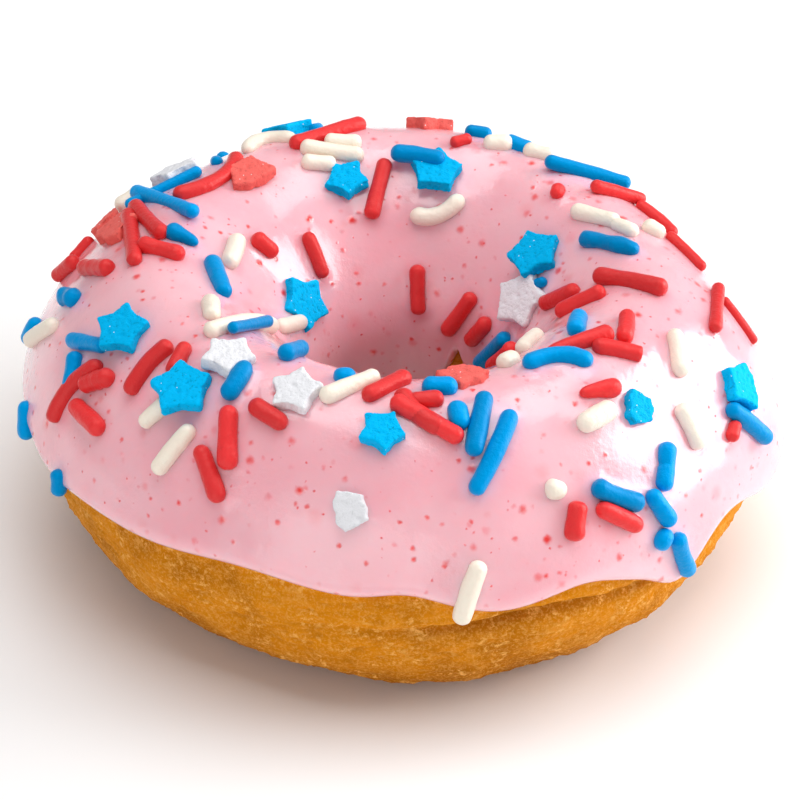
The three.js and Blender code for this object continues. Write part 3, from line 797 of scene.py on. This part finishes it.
def thickness_along(finish, s, angle, draw):
    """Radius along a rod, from -1 to 1, as a share of its usual one: the finish sets how its sugar broke,
    dried or was pinched."""
    phase = draw.between(0, FULL_TURN)
    swell = 1 + ROD_SWELL * np.sin(draw.between(*ROD_WAVES) * s + phase)
    if finish == RIDGED:
        swell = swell * (1 + 0.09 * np.abs(np.sin(7 * s + phase)) - 0.05)
    if finish == KNOBBLY:
        swell = swell * (1 + 0.1 * np.sin(6.5 * s + phase) + 0.05 * np.sin(3 * angle + 9 * s))
    if finish == TAPERED:
        swell = swell * (0.88 - 0.24 * s)
    if finish == TEARDROP:
        swell = swell * (0.9 - 0.35 * np.maximum(s, -0.3))
    if finish == BEAN:
        swell = swell * (1.06 - 0.12 * s * s)
    if finish == CRACKED:
        swell = swell * (1 - 0.22 * np.exp(-((s + 0.05) / 0.07) ** 2) * np.maximum(0, np.cos(angle - 2.6)))
    return swell


def lay_rod(copy, plain, spec, radius, draw):
    """Shapes one copy of the plain rod along its path and sets the tones of its sugar."""
    x, y, z = plain.T
    middle, half, unit, bend, out = rod_line(spec, radius)
    shaft = ROD_HALF - ROD_CAP
    cap_first, cap_last = draw.between(*ROD_ENDS), draw.between(*ROD_ENDS)
    if spec["finish"] == CUT:
        cap_first = CUT_END
    cap = np.maximum(np.abs(z) - shaft, 0) * np.where(z < 0, cap_first, cap_last) * radius
    run = np.clip(z / shaft, -1, 1)
    along = run * max(half - ROD_CAP * radius, SHORTEST_SHAFT) + np.sign(z) * cap
    s = np.clip(along / half, -1, 1)
    angle = np.arctan2(y, x)
    swell = thickness_along(spec["finish"], s, angle, draw) * radius
    placed = np.stack([x, y, along / radius], 1)
    swell = swell * (1 + ROD_DENTS[0] * noise_at(placed, ROD_DENTS[1], 30 * draw.one()))
    own_bend = draw.between(-ROD_BOW, ROD_BOW)
    own_turn = draw.between(0, FULL_TURN)

    side = unit.cross(out).normalized()
    up = side.cross(unit).normalized()
    line = np.outer(along, unit) + np.outer(1 - s * s, bend)
    line += np.outer((1 - s * s) * own_bend, side)
    slope = np.outer(np.ones_like(s), unit) - np.outer(2 * s / half, bend + side * own_bend)
    slope /= np.linalg.norm(slope, axis=1)[:, None]
    across_axis = np.cross(slope, np.array(up))
    across_axis /= np.linalg.norm(across_axis, axis=1)[:, None]
    up_axis = np.cross(across_axis, slope)
    turned = angle + own_turn
    reach = np.hypot(x, y) * swell
    points = np.array(middle) + line
    points += across_axis * (reach * np.cos(turned))[:, None] + up_axis * (reach * np.sin(turned))[:, None]
    write_points(copy, points)
    write_attribute(copy, "tone", np.full(len(points), draw.one()))
    bare = np.zeros(len(points))
    if spec["finish"] == CUT:
        bare = np.where(z < -shaft - 0.15 * ROD_CAP, 1.0, 0.0)
    write_attribute(copy, "bare_end", bare)


def join_copies(name, copies):
    deselect_all()
    for copy in copies:
        copy.select_set(True)
    bpy.context.view_layer.objects.active = copies[0]
    bpy.ops.object.join()
    joined = bpy.context.active_object
    joined.name = joined.data.name = name
    return joined


def copy_of(template):
    copy = template.copy()
    copy.data = template.data.copy()
    bpy.context.scene.collection.objects.link(copy)
    return copy


def rod_centres(spec, radius):
    """Points along a rod's centreline."""
    middle, half, unit, bend, _ = rod_line(spec, radius)
    s = np.linspace(-1, 1, 9)
    return np.array(middle) + np.outer(s * max(half - radius, 0), unit) + np.outer(1 - s * s, bend)


def add_plain_star(whole, sizes):
    """A rounded star slab with its first point on +Y, some of its points broken off."""
    reach, thickness = sizes.star_radius / MM, sizes.star_thickness / MM
    deselect_all()
    bpy.ops.mesh.primitive_cylinder_add(vertices=2 * STAR_POINTS, radius=reach * MM, depth=thickness * MM)
    plain = bpy.context.active_object
    point_at = [math.radians(90 + 360 / STAR_POINTS * k) for k in range(STAR_POINTS)]

    def on_point(co, which):
        return any(co.x * math.cos(a) + co.y * math.sin(a) > 0.95 * reach for a in which)

    bpy.ops.object.mode_set(mode="EDIT")
    bpy.ops.mesh.select_mode(type="VERT")
    select_points(plain, lambda co: not on_point(co, point_at))
    waist = (STAR_WAIST, STAR_WAIST, 1)
    bpy.ops.transform.resize(value=waist, center_override=(0, 0, 0))
    broken = point_at[whole:]
    if broken:
        select_points(plain, lambda co: on_point(co, broken))
        stump = STAR_WAIST * BROKEN_POINT
        bpy.ops.transform.resize(value=(stump, stump, 1), center_override=(0, 0, 0))
    bpy.ops.mesh.select_mode(type="EDGE")
    select_edges(plain, lambda a, b: abs(a.z - b.z) > 0.5 * thickness)
    bpy.ops.mesh.bevel(offset=STAR_TIP_ROUND * MM, segments=3, affect="EDGES")
    select_edges(plain, lambda a, b: abs(a.z - b.z) < 0.01)
    bpy.ops.mesh.bevel(offset=STAR_RIM_ROUND * MM, segments=2, affect="EDGES")
    bpy.ops.object.mode_set(mode="OBJECT")
    grid = plain.modifiers.new("grid", "REMESH")
    grid.mode = "VOXEL"
    grid.voxel_size = STAR_VOXEL * MM
    bpy.ops.object.modifier_apply(modifier=grid.name)
    return plain


def lay_star(copy, spec, sizes, draw):
    """Sets one star into the icing and roughens it into pressed grains."""
    reach, thickness = sizes.star_radius / MM * spec["size"], sizes.star_thickness / MM
    low_side = reach * math.sin(math.radians(math.hypot(*spec["lean"])))
    height = max(STAR_SET + spec["lift"], low_side - STAR_DIP)
    point, out, along = icing_frame(spec["place"], height)
    side = out.cross(along)
    axes = Matrix((along, side, out)).transposed().to_4x4()
    lean = Euler([math.radians(a) for a in (*spec["lean"], 0)]).to_matrix().to_4x4()
    turn = Matrix.Rotation(math.radians(spec["turn"] - 90), 4, "Z")
    points = read_points(copy)
    x, y = points[:, 0], points[:, 1]
    notch = 0.5 - 0.5 * np.cos(STAR_POINTS * (np.arctan2(y, x) - math.radians(90)))
    wider = spec["size"] * (1 + spec["fill"] * (1 / STAR_WAIST - 1) * notch)
    points = points * np.stack([wider, wider, np.ones_like(wider)], 1) + (0, 0, thickness / 2)
    world = np.array(Matrix.Translation(point) @ axes @ lean @ turn)
    write_points(copy, points @ world[:3, :3].T + world[:3, 3])
    shift = 40 * draw.one()
    placed, normals = read_points(copy), read_normals(copy)
    sideways = 1 - np.abs(normals @ world[:3, 2])
    outline = sum(far * noise_at(placed, size, shift + 9) for far, size in STAR_OUTLINE)
    height, grain = STAR_GRAIN
    depth, spacing, from_value = STAR_PITS
    rough = height * noise_at(placed, grain, shift) + outline * sideways
    rough = rough - depth * np.maximum(0, noise_at(placed, spacing, shift + 5) - from_value)
    write_points(copy, placed + normals * rough[:, None])
    write_attribute(copy, "tone", np.full(len(points), draw.one()))


# --- Materials ----------------------------------------------------------------------------------------


def add_node(tree, kind, gives, inputs, **settings):
    """Adds a node with its settings and links, and returns the output that is wanted of it. An input is a
    value or another node's output."""
    node = tree.nodes.new("ShaderNode" + kind)
    for name, value in settings.items():
        setattr(node, name, value)
    for socket, value in inputs.items():
        if isinstance(value, bpy.types.NodeSocket):
            tree.links.new(value, node.inputs[socket])
        else:
            node.inputs[socket].default_value = value
    return node.outputs[gives] if gives is not None else None


def new_material(name):
    """A material with an empty node tree, and its object coordinates."""
    material = bpy.data.materials.new(name)
    material.use_nodes = True
    tree = material.node_tree
    tree.nodes.clear()
    return material, tree, add_node(tree, "TexCoord", "Object", {})


def opaque(shade):
    return (*tuple(shade)[:3], 1)


def per(size):
    """Scale of a pattern whose features are that many millimetres apart."""
    return 1 / (size * MM)


def fried_crust(colours):
    """The ring's fried skin"""
    # Fried wheat dough: a dry skin without gloss, golden where the fat browned it and darker in patches,
    # with clusters of torn grains that show the paler crumb.
    # Painted shade darkens it underneath, in the crease's slit and in the crumb's hollows.
    material, tree, place = new_material("fried_dough_crust")
    drivers = {}
    for name, size, detail, rough in CRUST_PATTERNS:
        pattern = {"Vector": place, "Scale": per(size), "Detail": detail, "Roughness": rough}
        drivers[name] = add_node(tree, "TexNoise", "Fac", pattern)
    for name in ("fried", "raised"):
        drivers[name] = add_node(tree, "Attribute", "Fac", {}, attribute_name=name)
    clusters = {"Value": drivers["clusters"], "From Min": 0.42, "From Max": 0.62, "To Min": 0.1}
    clusters = add_node(tree, "MapRange", "Result", clusters)
    tone = opaque(colours.crust)
    for name, start, full, most, shade in CRUST_LAYERS:
        share = {"Value": drivers[name], "From Min": start, "From Max": full, "To Max": most}
        share = add_node(tree, "MapRange", "Result", share)
        if name == "grains":
            share = add_node(tree, "Math", "Value", {0: share, 1: clusters}, operation="MULTIPLY")
        layer = {MIX_SHARE: share, MIX_UNDER: tone, MIX_OVER: opaque(getattr(colours, shade))}
        tone = add_node(tree, "Mix", MIX_RESULT, layer, **MIX)

    relief = {"Height": drivers["grains"], "Distance": 0.18 * MM, "Strength": 1}
    relief = add_node(tree, "Bump", "Normal", relief)
    skin = {"Base Color": tone, "Normal": relief, "Roughness": 0.75, "IOR": 1.4, "Specular IOR Level": 0.12}
    skin |= {"Subsurface Weight": 0.1, "Subsurface Scale": 0.8 * MM, "Subsurface Radius": (1, 0.5, 0.2)}
    add_node(tree, "OutputMaterial", None, {"Surface": add_node(tree, "BsdfPrincipled", "BSDF", skin)})
    return material


def strawberry_icing(colours, sizes):
    """The poured icing"""
    # Sugar glaze coloured with strawberry: poured wet and set with a gloss, light goes into it and comes
    # out pinker, and bits of the fruit float in it at different depths.
    material, tree, place = new_material("strawberry_sugar_icing")
    stray = add_node(tree, "TexNoise", "Color", {"Vector": place, "Scale": per(0.7), "Detail": 3})
    stray = add_node(tree, "VectorMath", 0, {0: stray, 1: (0.5, 0.5, 0.5)}, operation="SUBTRACT")
    stray = add_node(tree, "VectorMath", 0, {0: stray, "Scale": FLECK_STRAY * MM}, operation="SCALE")
    loose = add_node(tree, "VectorMath", 0, {0: place, 1: stray}, operation="ADD")

    clouds = add_node(tree, "TexNoise", "Fac", {"Vector": place, "Scale": per(9), "Detail": 3})
    clouds = add_node(tree, "MapRange", "Result", {"Value": clouds, "From Min": 0.4, "From Max": 0.62})
    deep = opaque(c * k for c, k in zip(colours.icing, DEEP_ICING))
    tone = {MIX_SHARE: clouds, MIX_UNDER: opaque(colours.icing), MIX_OVER: deep}
    tone = add_node(tree, "Mix", MIX_RESULT, tone, **MIX)
    bits = 0
    for spacing, radius, share, strength in FLECKS:
        apart = sizes.fleck_spacing / MM * spacing
        cell = {"Vector": loose, "Scale": per(apart)}
        away = add_node(tree, "TexVoronoi", "Distance", cell)
        lot = add_node(tree, "SeparateColor", "Red", {"Color": add_node(tree, "TexVoronoi", "Color", cell)})
        drawn = {"Value": lot, "From Min": 1 - share, "From Max": 1 - FLECK_LOT * share, "To Max": strength}
        drawn = add_node(tree, "MapRange", "Result", drawn)
        reach = {"From Min": FLECK_CORE * radius / apart, "From Max": radius / apart}
        near = {"Value": away, "To Min": 1, "To Max": 0} | reach
        bit = add_node(tree, "MapRange", "Result", near, interpolation_type="SMOOTHSTEP")
        bit = add_node(tree, "Math", "Value", {0: bit, 1: drawn}, operation="MULTIPLY")
        layer = {MIX_SHARE: bit, MIX_UNDER: tone, MIX_OVER: opaque(colours.fleck)}
        tone = add_node(tree, "Mix", MIX_RESULT, layer, **MIX)
        bits = add_node(tree, "Math", "Value", {0: bits, 1: bit}, operation="MAXIMUM")
    # Part dye and part painted red bounce light and painted bluish shade round the rods, and painted pale
    # light along the lower edge.
    for name, much, shade in DYES_AND_PAINTED_LIGHT:
        dye = add_node(tree, "Attribute", "Fac", {}, attribute_name=name)
        dye = add_node(tree, "Math", "Value", {0: dye, 1: much}, operation="MULTIPLY")
        layer = {MIX_SHARE: dye, MIX_UNDER: tone, MIX_OVER: opaque(srgb(shade))}
        tone = add_node(tree, "Mix", MIX_RESULT, layer, **MIX)

    still = add_node(tree, "TexNoise", "Fac", {"Vector": place, "Scale": per(6), "Detail": 2})
    still = {"Value": still, "From Min": 0.42, "From Max": 0.6, "To Min": 0.3}
    still = add_node(tree, "MapRange", "Result", still)
    waves = {"Vector": place, "Scale": per(0.9), "Detail": 5, "Roughness": 0.6}
    waves = add_node(tree, "TexNoise", "Fac", waves)
    waves = add_node(tree, "Math", "Value", {0: waves, 1: still}, operation="MULTIPLY")
    ripples = add_node(tree, "Bump", "Normal", {"Height": waves, "Distance": 0.07 * MM, "Strength": 1})
    ripples = {"Height": bits, "Distance": 0.05 * MM, "Strength": 1, "Normal": ripples}
    ripples = add_node(tree, "Bump", "Normal", ripples)
    glaze = {"Base Color": tone, "Normal": ripples, "Roughness": 0.11, "IOR": 1.48}
    glaze |= {"Subsurface Weight": 0.75, "Subsurface Scale": 2 * MM, "Subsurface Radius": (1, 0.3, 0.34)}
    glaze |= {"Coat Weight": 0.7, "Coat Roughness": 0.035, "Coat IOR": 1.5, "Coat Normal": ripples}
    add_node(tree, "OutputMaterial", None, {"Surface": add_node(tree, "BsdfPrincipled", "BSDF", glaze)})
    return material


def rod_sugar(name, shade, dull_share, sheen):
    """Sugar paste of one colour of rods"""
    # Extruded sugar paste: a smooth, half dull skin with faint hollows, each rod a little off in tone. The
    # dye is strong, so what the skin reflects has its colour too. Broken ends are paler and coarse.
    material, tree, place = new_material(name)
    dull = opaque(dull_share * c for c in shade)
    own = add_node(tree, "Attribute", "Fac", {}, attribute_name="tone")
    hollows = {"Vector": place, "Scale": per(0.6), "Detail": 4, "Roughness": 0.6}
    hollows = add_node(tree, "TexNoise", "Fac", hollows)
    dark = {"Value": hollows, "From Min": 0.5, "From Max": 0.75, "To Max": 0.4}
    dark = add_node(tree, "MapRange", "Result", dark)
    bare = add_node(tree, "Attribute", "Fac", {}, attribute_name="bare_end")
    coarse = add_node(tree, "TexNoise", "Fac", {"Vector": place, "Scale": per(0.28), "Detail": 3})
    coarse = {"Value": coarse, "From Min": 0.4, "From Max": 0.6, "To Max": 0.55}
    coarse = add_node(tree, "MapRange", "Result", coarse)
    bare = add_node(tree, "Math", "Value", {0: bare, 1: coarse}, operation="MULTIPLY")
    paste = opaque(PASTE_WHITE + (1 - PASTE_WHITE) * c for c in shade)
    tone = opaque(shade)
    for share, over in ((own, dull), (dark, dull), (bare, paste)):
        layer = {MIX_SHARE: share, MIX_UNDER: tone, MIX_OVER: over}
        tone = add_node(tree, "Mix", MIX_RESULT, layer, **MIX)
    relief = add_node(tree, "Bump", "Normal", {"Height": hollows, "Distance": 0.12 * MM, "Strength": 1})
    skin = {"Base Color": tone, "Normal": relief, "Roughness": 0.3, "IOR": 1.5}
    skin |= {"Specular IOR Level": 0.42, "Specular Tint": opaque(sheen)}
    skin |= {"Subsurface Weight": 0.12, "Subsurface Scale": 0.5 * MM, "Subsurface Radius": (1, 0.6, 0.6)}
    add_node(tree, "OutputMaterial", None, {"Surface": add_node(tree, "BsdfPrincipled", "BSDF", skin)})
    return material


def star_sugar(name, shade, dull_share, sheen):
    """Pressed sugar of one colour of stars"""
    # Sugar powder pressed in a mould: dull, with fine pits between the grains, darkened with painted shade,
    # and a few crystals with painted white glints.
    material, tree, place = new_material(name)
    dull = opaque(dull_share * c for c in shade)
    own = add_node(tree, "Attribute", "Fac", {}, attribute_name="tone")
    own = add_node(tree, "Math", "Value", {0: own, 1: STAR_TONE}, operation="MULTIPLY")
    powder = {"Vector": place, "Scale": per(STAR_CRYSTAL), "Detail": 4, "Roughness": 0.65}
    powder = add_node(tree, "TexNoise", "Fac", powder)
    # The pits between the grains are darkened with painted shade.
    pit_shade = {"Value": powder, "From Min": 0.44, "From Max": 0.34, "To Max": 0.7}
    pit_shade = add_node(tree, "MapRange", "Result", pit_shade)
    cell = {"Vector": place, "Scale": per(STAR_CRYSTAL)}
    away = add_node(tree, "TexVoronoi", "Distance", cell)
    lot = add_node(tree, "SeparateColor", "Red", {"Color": add_node(tree, "TexVoronoi", "Color", cell)})
    painted_glint_reach, painted_glint_lot, painted_glint_share = STAR_PAINTED_GLINTS
    painted_glint = add_node(tree, "Math", "Value", {0: away, 1: painted_glint_reach}, operation="LESS_THAN")
    drawn = add_node(tree, "Math", "Value", {0: lot, 1: painted_glint_lot}, operation="GREATER_THAN")
    for factor in (drawn, painted_glint_share):
        painted_glint = add_node(tree, "Math", "Value", {0: painted_glint, 1: factor}, operation="MULTIPLY")
    tone = opaque(shade)
    # The white glints are painted highlights on a few crystals.
    for share, over in ((own, dull), (pit_shade, dull), (painted_glint, opaque(srgb("#f4fbff")))):
        layer = {MIX_SHARE: share, MIX_UNDER: tone, MIX_OVER: over}
        tone = add_node(tree, "Mix", MIX_RESULT, layer, **MIX)
    relief = add_node(tree, "Bump", "Normal", {"Height": powder, "Distance": 0.2 * MM, "Strength": 1})
    skin = {"Base Color": tone, "Normal": relief, "Roughness": 0.7, "IOR": 1.45}
    skin |= {"Specular IOR Level": 0.3, "Specular Tint": opaque(sheen)}
    add_node(tree, "OutputMaterial", None, {"Surface": add_node(tree, "BsdfPrincipled", "BSDF", skin)})
    return material


def white_paper():
    """The studio's floor"""
    # Matt white paper: even and pale, its fibres too fine to show.
    material, tree, place = new_material("white_paper")
    fibres = add_node(tree, "TexNoise", "Fac", {"Vector": place, "Scale": per(300)})
    tone = {MIX_SHARE: fibres, MIX_UNDER: opaque(srgb("#f6f6f6")), MIX_OVER: opaque(srgb("#f8f8f8"))}
    sheet = {"Base Color": add_node(tree, "Mix", MIX_RESULT, tone, **MIX), "Roughness": 0.9}
    add_node(tree, "OutputMaterial", None, {"Surface": add_node(tree, "BsdfPrincipled", "BSDF", sheet)})
    return material


# --- Operators ----------------------------------------------------------------------------------------


class DOUGHNUT_OT_cake(bpy.types.Operator):
    """Shape the fried cake ring from a torus"""

    bl_idname = "doughnut.cake"
    bl_label = "Cake Ring"

    def execute(self, context):
        ring, bearing, share = add_plain_ring("cake_crust", CAKE_ROUND, CAKE_OVER)
        shares, places = zip(*CAKE_ROWS)
        across = np.interp(share, shares, places) % 360
        relief, raised = crust_relief(bearing, across)
        write_points(ring, ring_point(bearing, across, relief))
        # The fried attribute carries the fried tone and the painted shade underneath and in the crease's
        # slit.
        write_attribute(ring, "fried", fry_and_shade_tone(bearing, across))
        write_attribute(ring, "raised", raised)
        finish_piece(ring, fried_crust(context.scene.doughnut_colours), "cake", "cake_ring")
        return {"FINISHED"}


class DOUGHNUT_OT_icing(bpy.types.Operator):
    """Pour the icing over the upper half of the ring, wetting the sprinkles"""

    bl_idname = "doughnut.icing"
    bl_label = "Icing"

    def execute(self, context):
        sizes, colours = context.scene.doughnut_sizes, context.scene.doughnut_colours
        skin, bearing, share = add_plain_ring("icing_coat", ICING_ROUND, ICING_OVER)
        first, last = outer_edge(bearing), hole_edge(bearing)
        on_top = share <= ICING_TOP_SHARE
        even = np.clip(share / ICING_TOP_SHARE, 0, 1)
        eased = even - np.sin(2 * np.pi * even) * ICING_ROW_EASE / (2 * np.pi)
        back = (share - ICING_TOP_SHARE) / (1 - ICING_TOP_SHARE)
        across = np.where(on_top, first + (last - first) * eased, last + (first - last) * back)
        top = icing_profile(bearing, across, sizes.lip_bead / MM)
        inside = smoothstep(np.minimum(across - first, last - across), 0, ICING_LIP_FADE)
        under = ICING_FOOT + (ICING_UNDERSIDE - ICING_FOOT) * inside
        points = ring_point(bearing, across, np.where(on_top, top, under))
        for height, size in FLOW_RIPPLES:
            top = top + height * noise_at(points, size) * inside
        wet, red, blue = (np.zeros(len(points)) for _ in range(3))
        for kind, specs in all_sprinkles().items():
            for spec in specs:
                if "path" not in spec:
                    continue
                centres = rod_centres(spec, sizes.rod_radius / MM * spec["thick"])
                wet = np.maximum(wet, closeness(points, centres, WET_REACH))
                # Round red rods the tint is part dye and part painted red bounce light, round blue rods part
                # dye and part painted bluish shade.
                dye = closeness(points, centres, DYE_AND_LIGHT_REACH)
                if kind == "rods_red":
                    red = np.maximum(red, dye)
                if kind == "rods_blue":
                    blue = np.maximum(blue, dye)
        top = top + WET_CLIMB * wet * inside
        write_points(skin, ring_point(bearing, across, np.where(on_top, top, under)))
        write_attribute(skin, "red_dye", red)
        write_attribute(skin, "blue_dye", blue)
        # A painted pale band of light along the icing's lower edge.
        write_attribute(skin, "rim", 1 - smoothstep(across - first, 0, RIM_WIDTH))
        finish_piece(skin, strawberry_icing(colours, sizes), "icing", "icing")
        return {"FINISHED"}


class DOUGHNUT_OT_rods(bpy.types.Operator):
    """Lay the rod sprinkles, one piece for each colour"""

    bl_idname = "doughnut.rods"
    bl_label = "Rod Sprinkles"

    def execute(self, context):
        sizes, colours = context.scene.doughnut_sizes, context.scene.doughnut_colours
        sugars = {
            "rods_red": rod_sugar("red_sugar_paste", colours.red, 0.74, srgb("#ffb4ac")),
            "rods_white": rod_sugar("cream_sugar_paste", colours.cream, 0.93, srgb("#ffffff")),
            "rods_blue": rod_sugar("blue_sugar_paste", colours.blue, 0.7, srgb("#1eb0ff")),
        }
        draw = Draw(SHAPE_SEED)
        template = add_plain_rod()
        plain = read_points(template)
        for kind, specs in all_sprinkles().items():
            if kind not in sugars:
                continue
            copies = []
            for spec in specs:
                copy = copy_of(template)
                lay_rod(copy, plain, spec, sizes.rod_radius / MM * spec["thick"], draw)
                copies.append(copy)
            finish_piece(join_copies(kind, copies), sugars[kind], "icing", "icing")
        bpy.data.objects.remove(template)
        return {"FINISHED"}


class DOUGHNUT_OT_stars(bpy.types.Operator):
    """Set the pressed star sprinkles, one piece for each colour"""

    bl_idname = "doughnut.stars"
    bl_label = "Star Sprinkles"

    def execute(self, context):
        sizes, colours = context.scene.doughnut_sizes, context.scene.doughnut_colours
        sugars = {
            "stars_blue": star_sugar("blue_pressed_sugar", colours.star_blue, 0.5, srgb("#3cbcff")),
            "stars_white": star_sugar("white_pressed_sugar", colours.star_white, 0.8, srgb("#ffffff")),
            "stars_red": star_sugar("coral_pressed_sugar", colours.star_red, 0.6, srgb("#ff9c94")),
        }
        draw = Draw(SHAPE_SEED)
        templates = {whole: add_plain_star(whole, sizes) for whole in (3, 4, 5)}
        for kind, specs in all_sprinkles().items():
            if kind not in sugars:
                continue
            copies = []
            for spec in specs:
                copy = copy_of(templates[spec["whole"]])
                lay_star(copy, spec, sizes, draw)
                copies.append(copy)
            finish_piece(join_copies(kind, copies), sugars[kind], "icing", "icing")
        for template in templates.values():
            bpy.data.objects.remove(template)
        return {"FINISHED"}


class DOUGHNUT_OT_stage(bpy.types.Operator):
    """Set the pale floor, the soft boxes and the camera"""

    bl_idname = "doughnut.stage"
    bl_label = "Studio"

    def execute(self, context):
        deselect_all()
        bpy.ops.mesh.primitive_plane_add(size=FLOOR_SIZE * MM, location=(0, 0, 0))
        floor = context.active_object
        floor.name = floor.data.name = "studio_floor"
        floor.data.materials.append(white_paper())

        look_at = Vector(LOOK_AT) * MM
        for name, bearing, elevation, distance, width, height, power in LAMPS:
            e, b = math.radians(elevation), math.radians(bearing)
            away = Vector((math.cos(e) * math.cos(b), math.cos(e) * math.sin(b), math.sin(e)))
            lamp = bpy.data.lights.new(name, "AREA")
            lamp.shape = "RECTANGLE"
            lamp.size, lamp.size_y, lamp.energy = width * MM, height * MM, power
            stand = bpy.data.objects.new(name, lamp)
            context.scene.collection.objects.link(stand)
            stand.location = look_at + away * distance * MM
            stand.rotation_euler = (-away).to_track_quat("-Z", "Y").to_euler()

        world = bpy.data.worlds.new("white_studio")
        context.scene.world = world
        world.use_nodes = True
        sky = world.node_tree.nodes["Background"]
        sky.inputs["Color"].default_value = (1, 1, 1, 1)
        sky.inputs["Strength"].default_value = WORLD_LIGHT

        camera = bpy.data.cameras.new("camera")
        camera.lens, camera.sensor_width = CAMERA_LENS, CAMERA_SENSOR
        camera.shift_x, camera.shift_y = CAMERA_SHIFT
        eye = bpy.data.objects.new("camera", camera)
        context.scene.collection.objects.link(eye)
        e = math.radians(CAMERA_ELEVATION)
        away = Vector((0, -math.cos(e), math.sin(e)))
        eye.location = look_at + away * CAMERA_DISTANCE * MM
        eye.rotation_euler = (-away).to_track_quat("-Z", "Y").to_euler()
        context.scene.camera = eye
        context.scene.view_settings.view_transform = "Standard"
        return {"FINISHED"}


OPERATORS = [DOUGHNUT_OT_cake, DOUGHNUT_OT_icing, DOUGHNUT_OT_rods, DOUGHNUT_OT_stars, DOUGHNUT_OT_stage]


class DOUGHNUT_PT_panel(bpy.types.Panel):
    """Sizes, colours and steps of the doughnut"""

    bl_idname = "DOUGHNUT_PT_panel"
    bl_label = "Sprinkle Frosted Doughnut"
    bl_space_type = "VIEW_3D"
    bl_region_type = "UI"
    bl_category = "Doughnut"

    def draw(self, context):
        for group in (context.scene.doughnut_sizes, context.scene.doughnut_colours):
            for name in group.__annotations__:
                self.layout.prop(group, name)
        for operator in OPERATORS:
            self.layout.operator(operator.bl_idname)


CLASSES = [DoughnutSizes, DoughnutColours, *OPERATORS, DOUGHNUT_PT_panel]


def register():
    for cls in CLASSES:
        bpy.utils.register_class(cls)
    bpy.types.Scene.doughnut_sizes = PointerProperty(type=DoughnutSizes)
    bpy.types.Scene.doughnut_colours = PointerProperty(type=DoughnutColours)


def unregister():
    del bpy.types.Scene.doughnut_colours
    del bpy.types.Scene.doughnut_sizes
    for cls in reversed(CLASSES):
        bpy.utils.unregister_class(cls)


def main():
    register()
    bpy.ops.doughnut.cake()
    bpy.ops.doughnut.icing()
    bpy.ops.doughnut.rods()
    bpy.ops.doughnut.stars()
    bpy.ops.doughnut.stage()


if __name__ == "__main__":
    main()
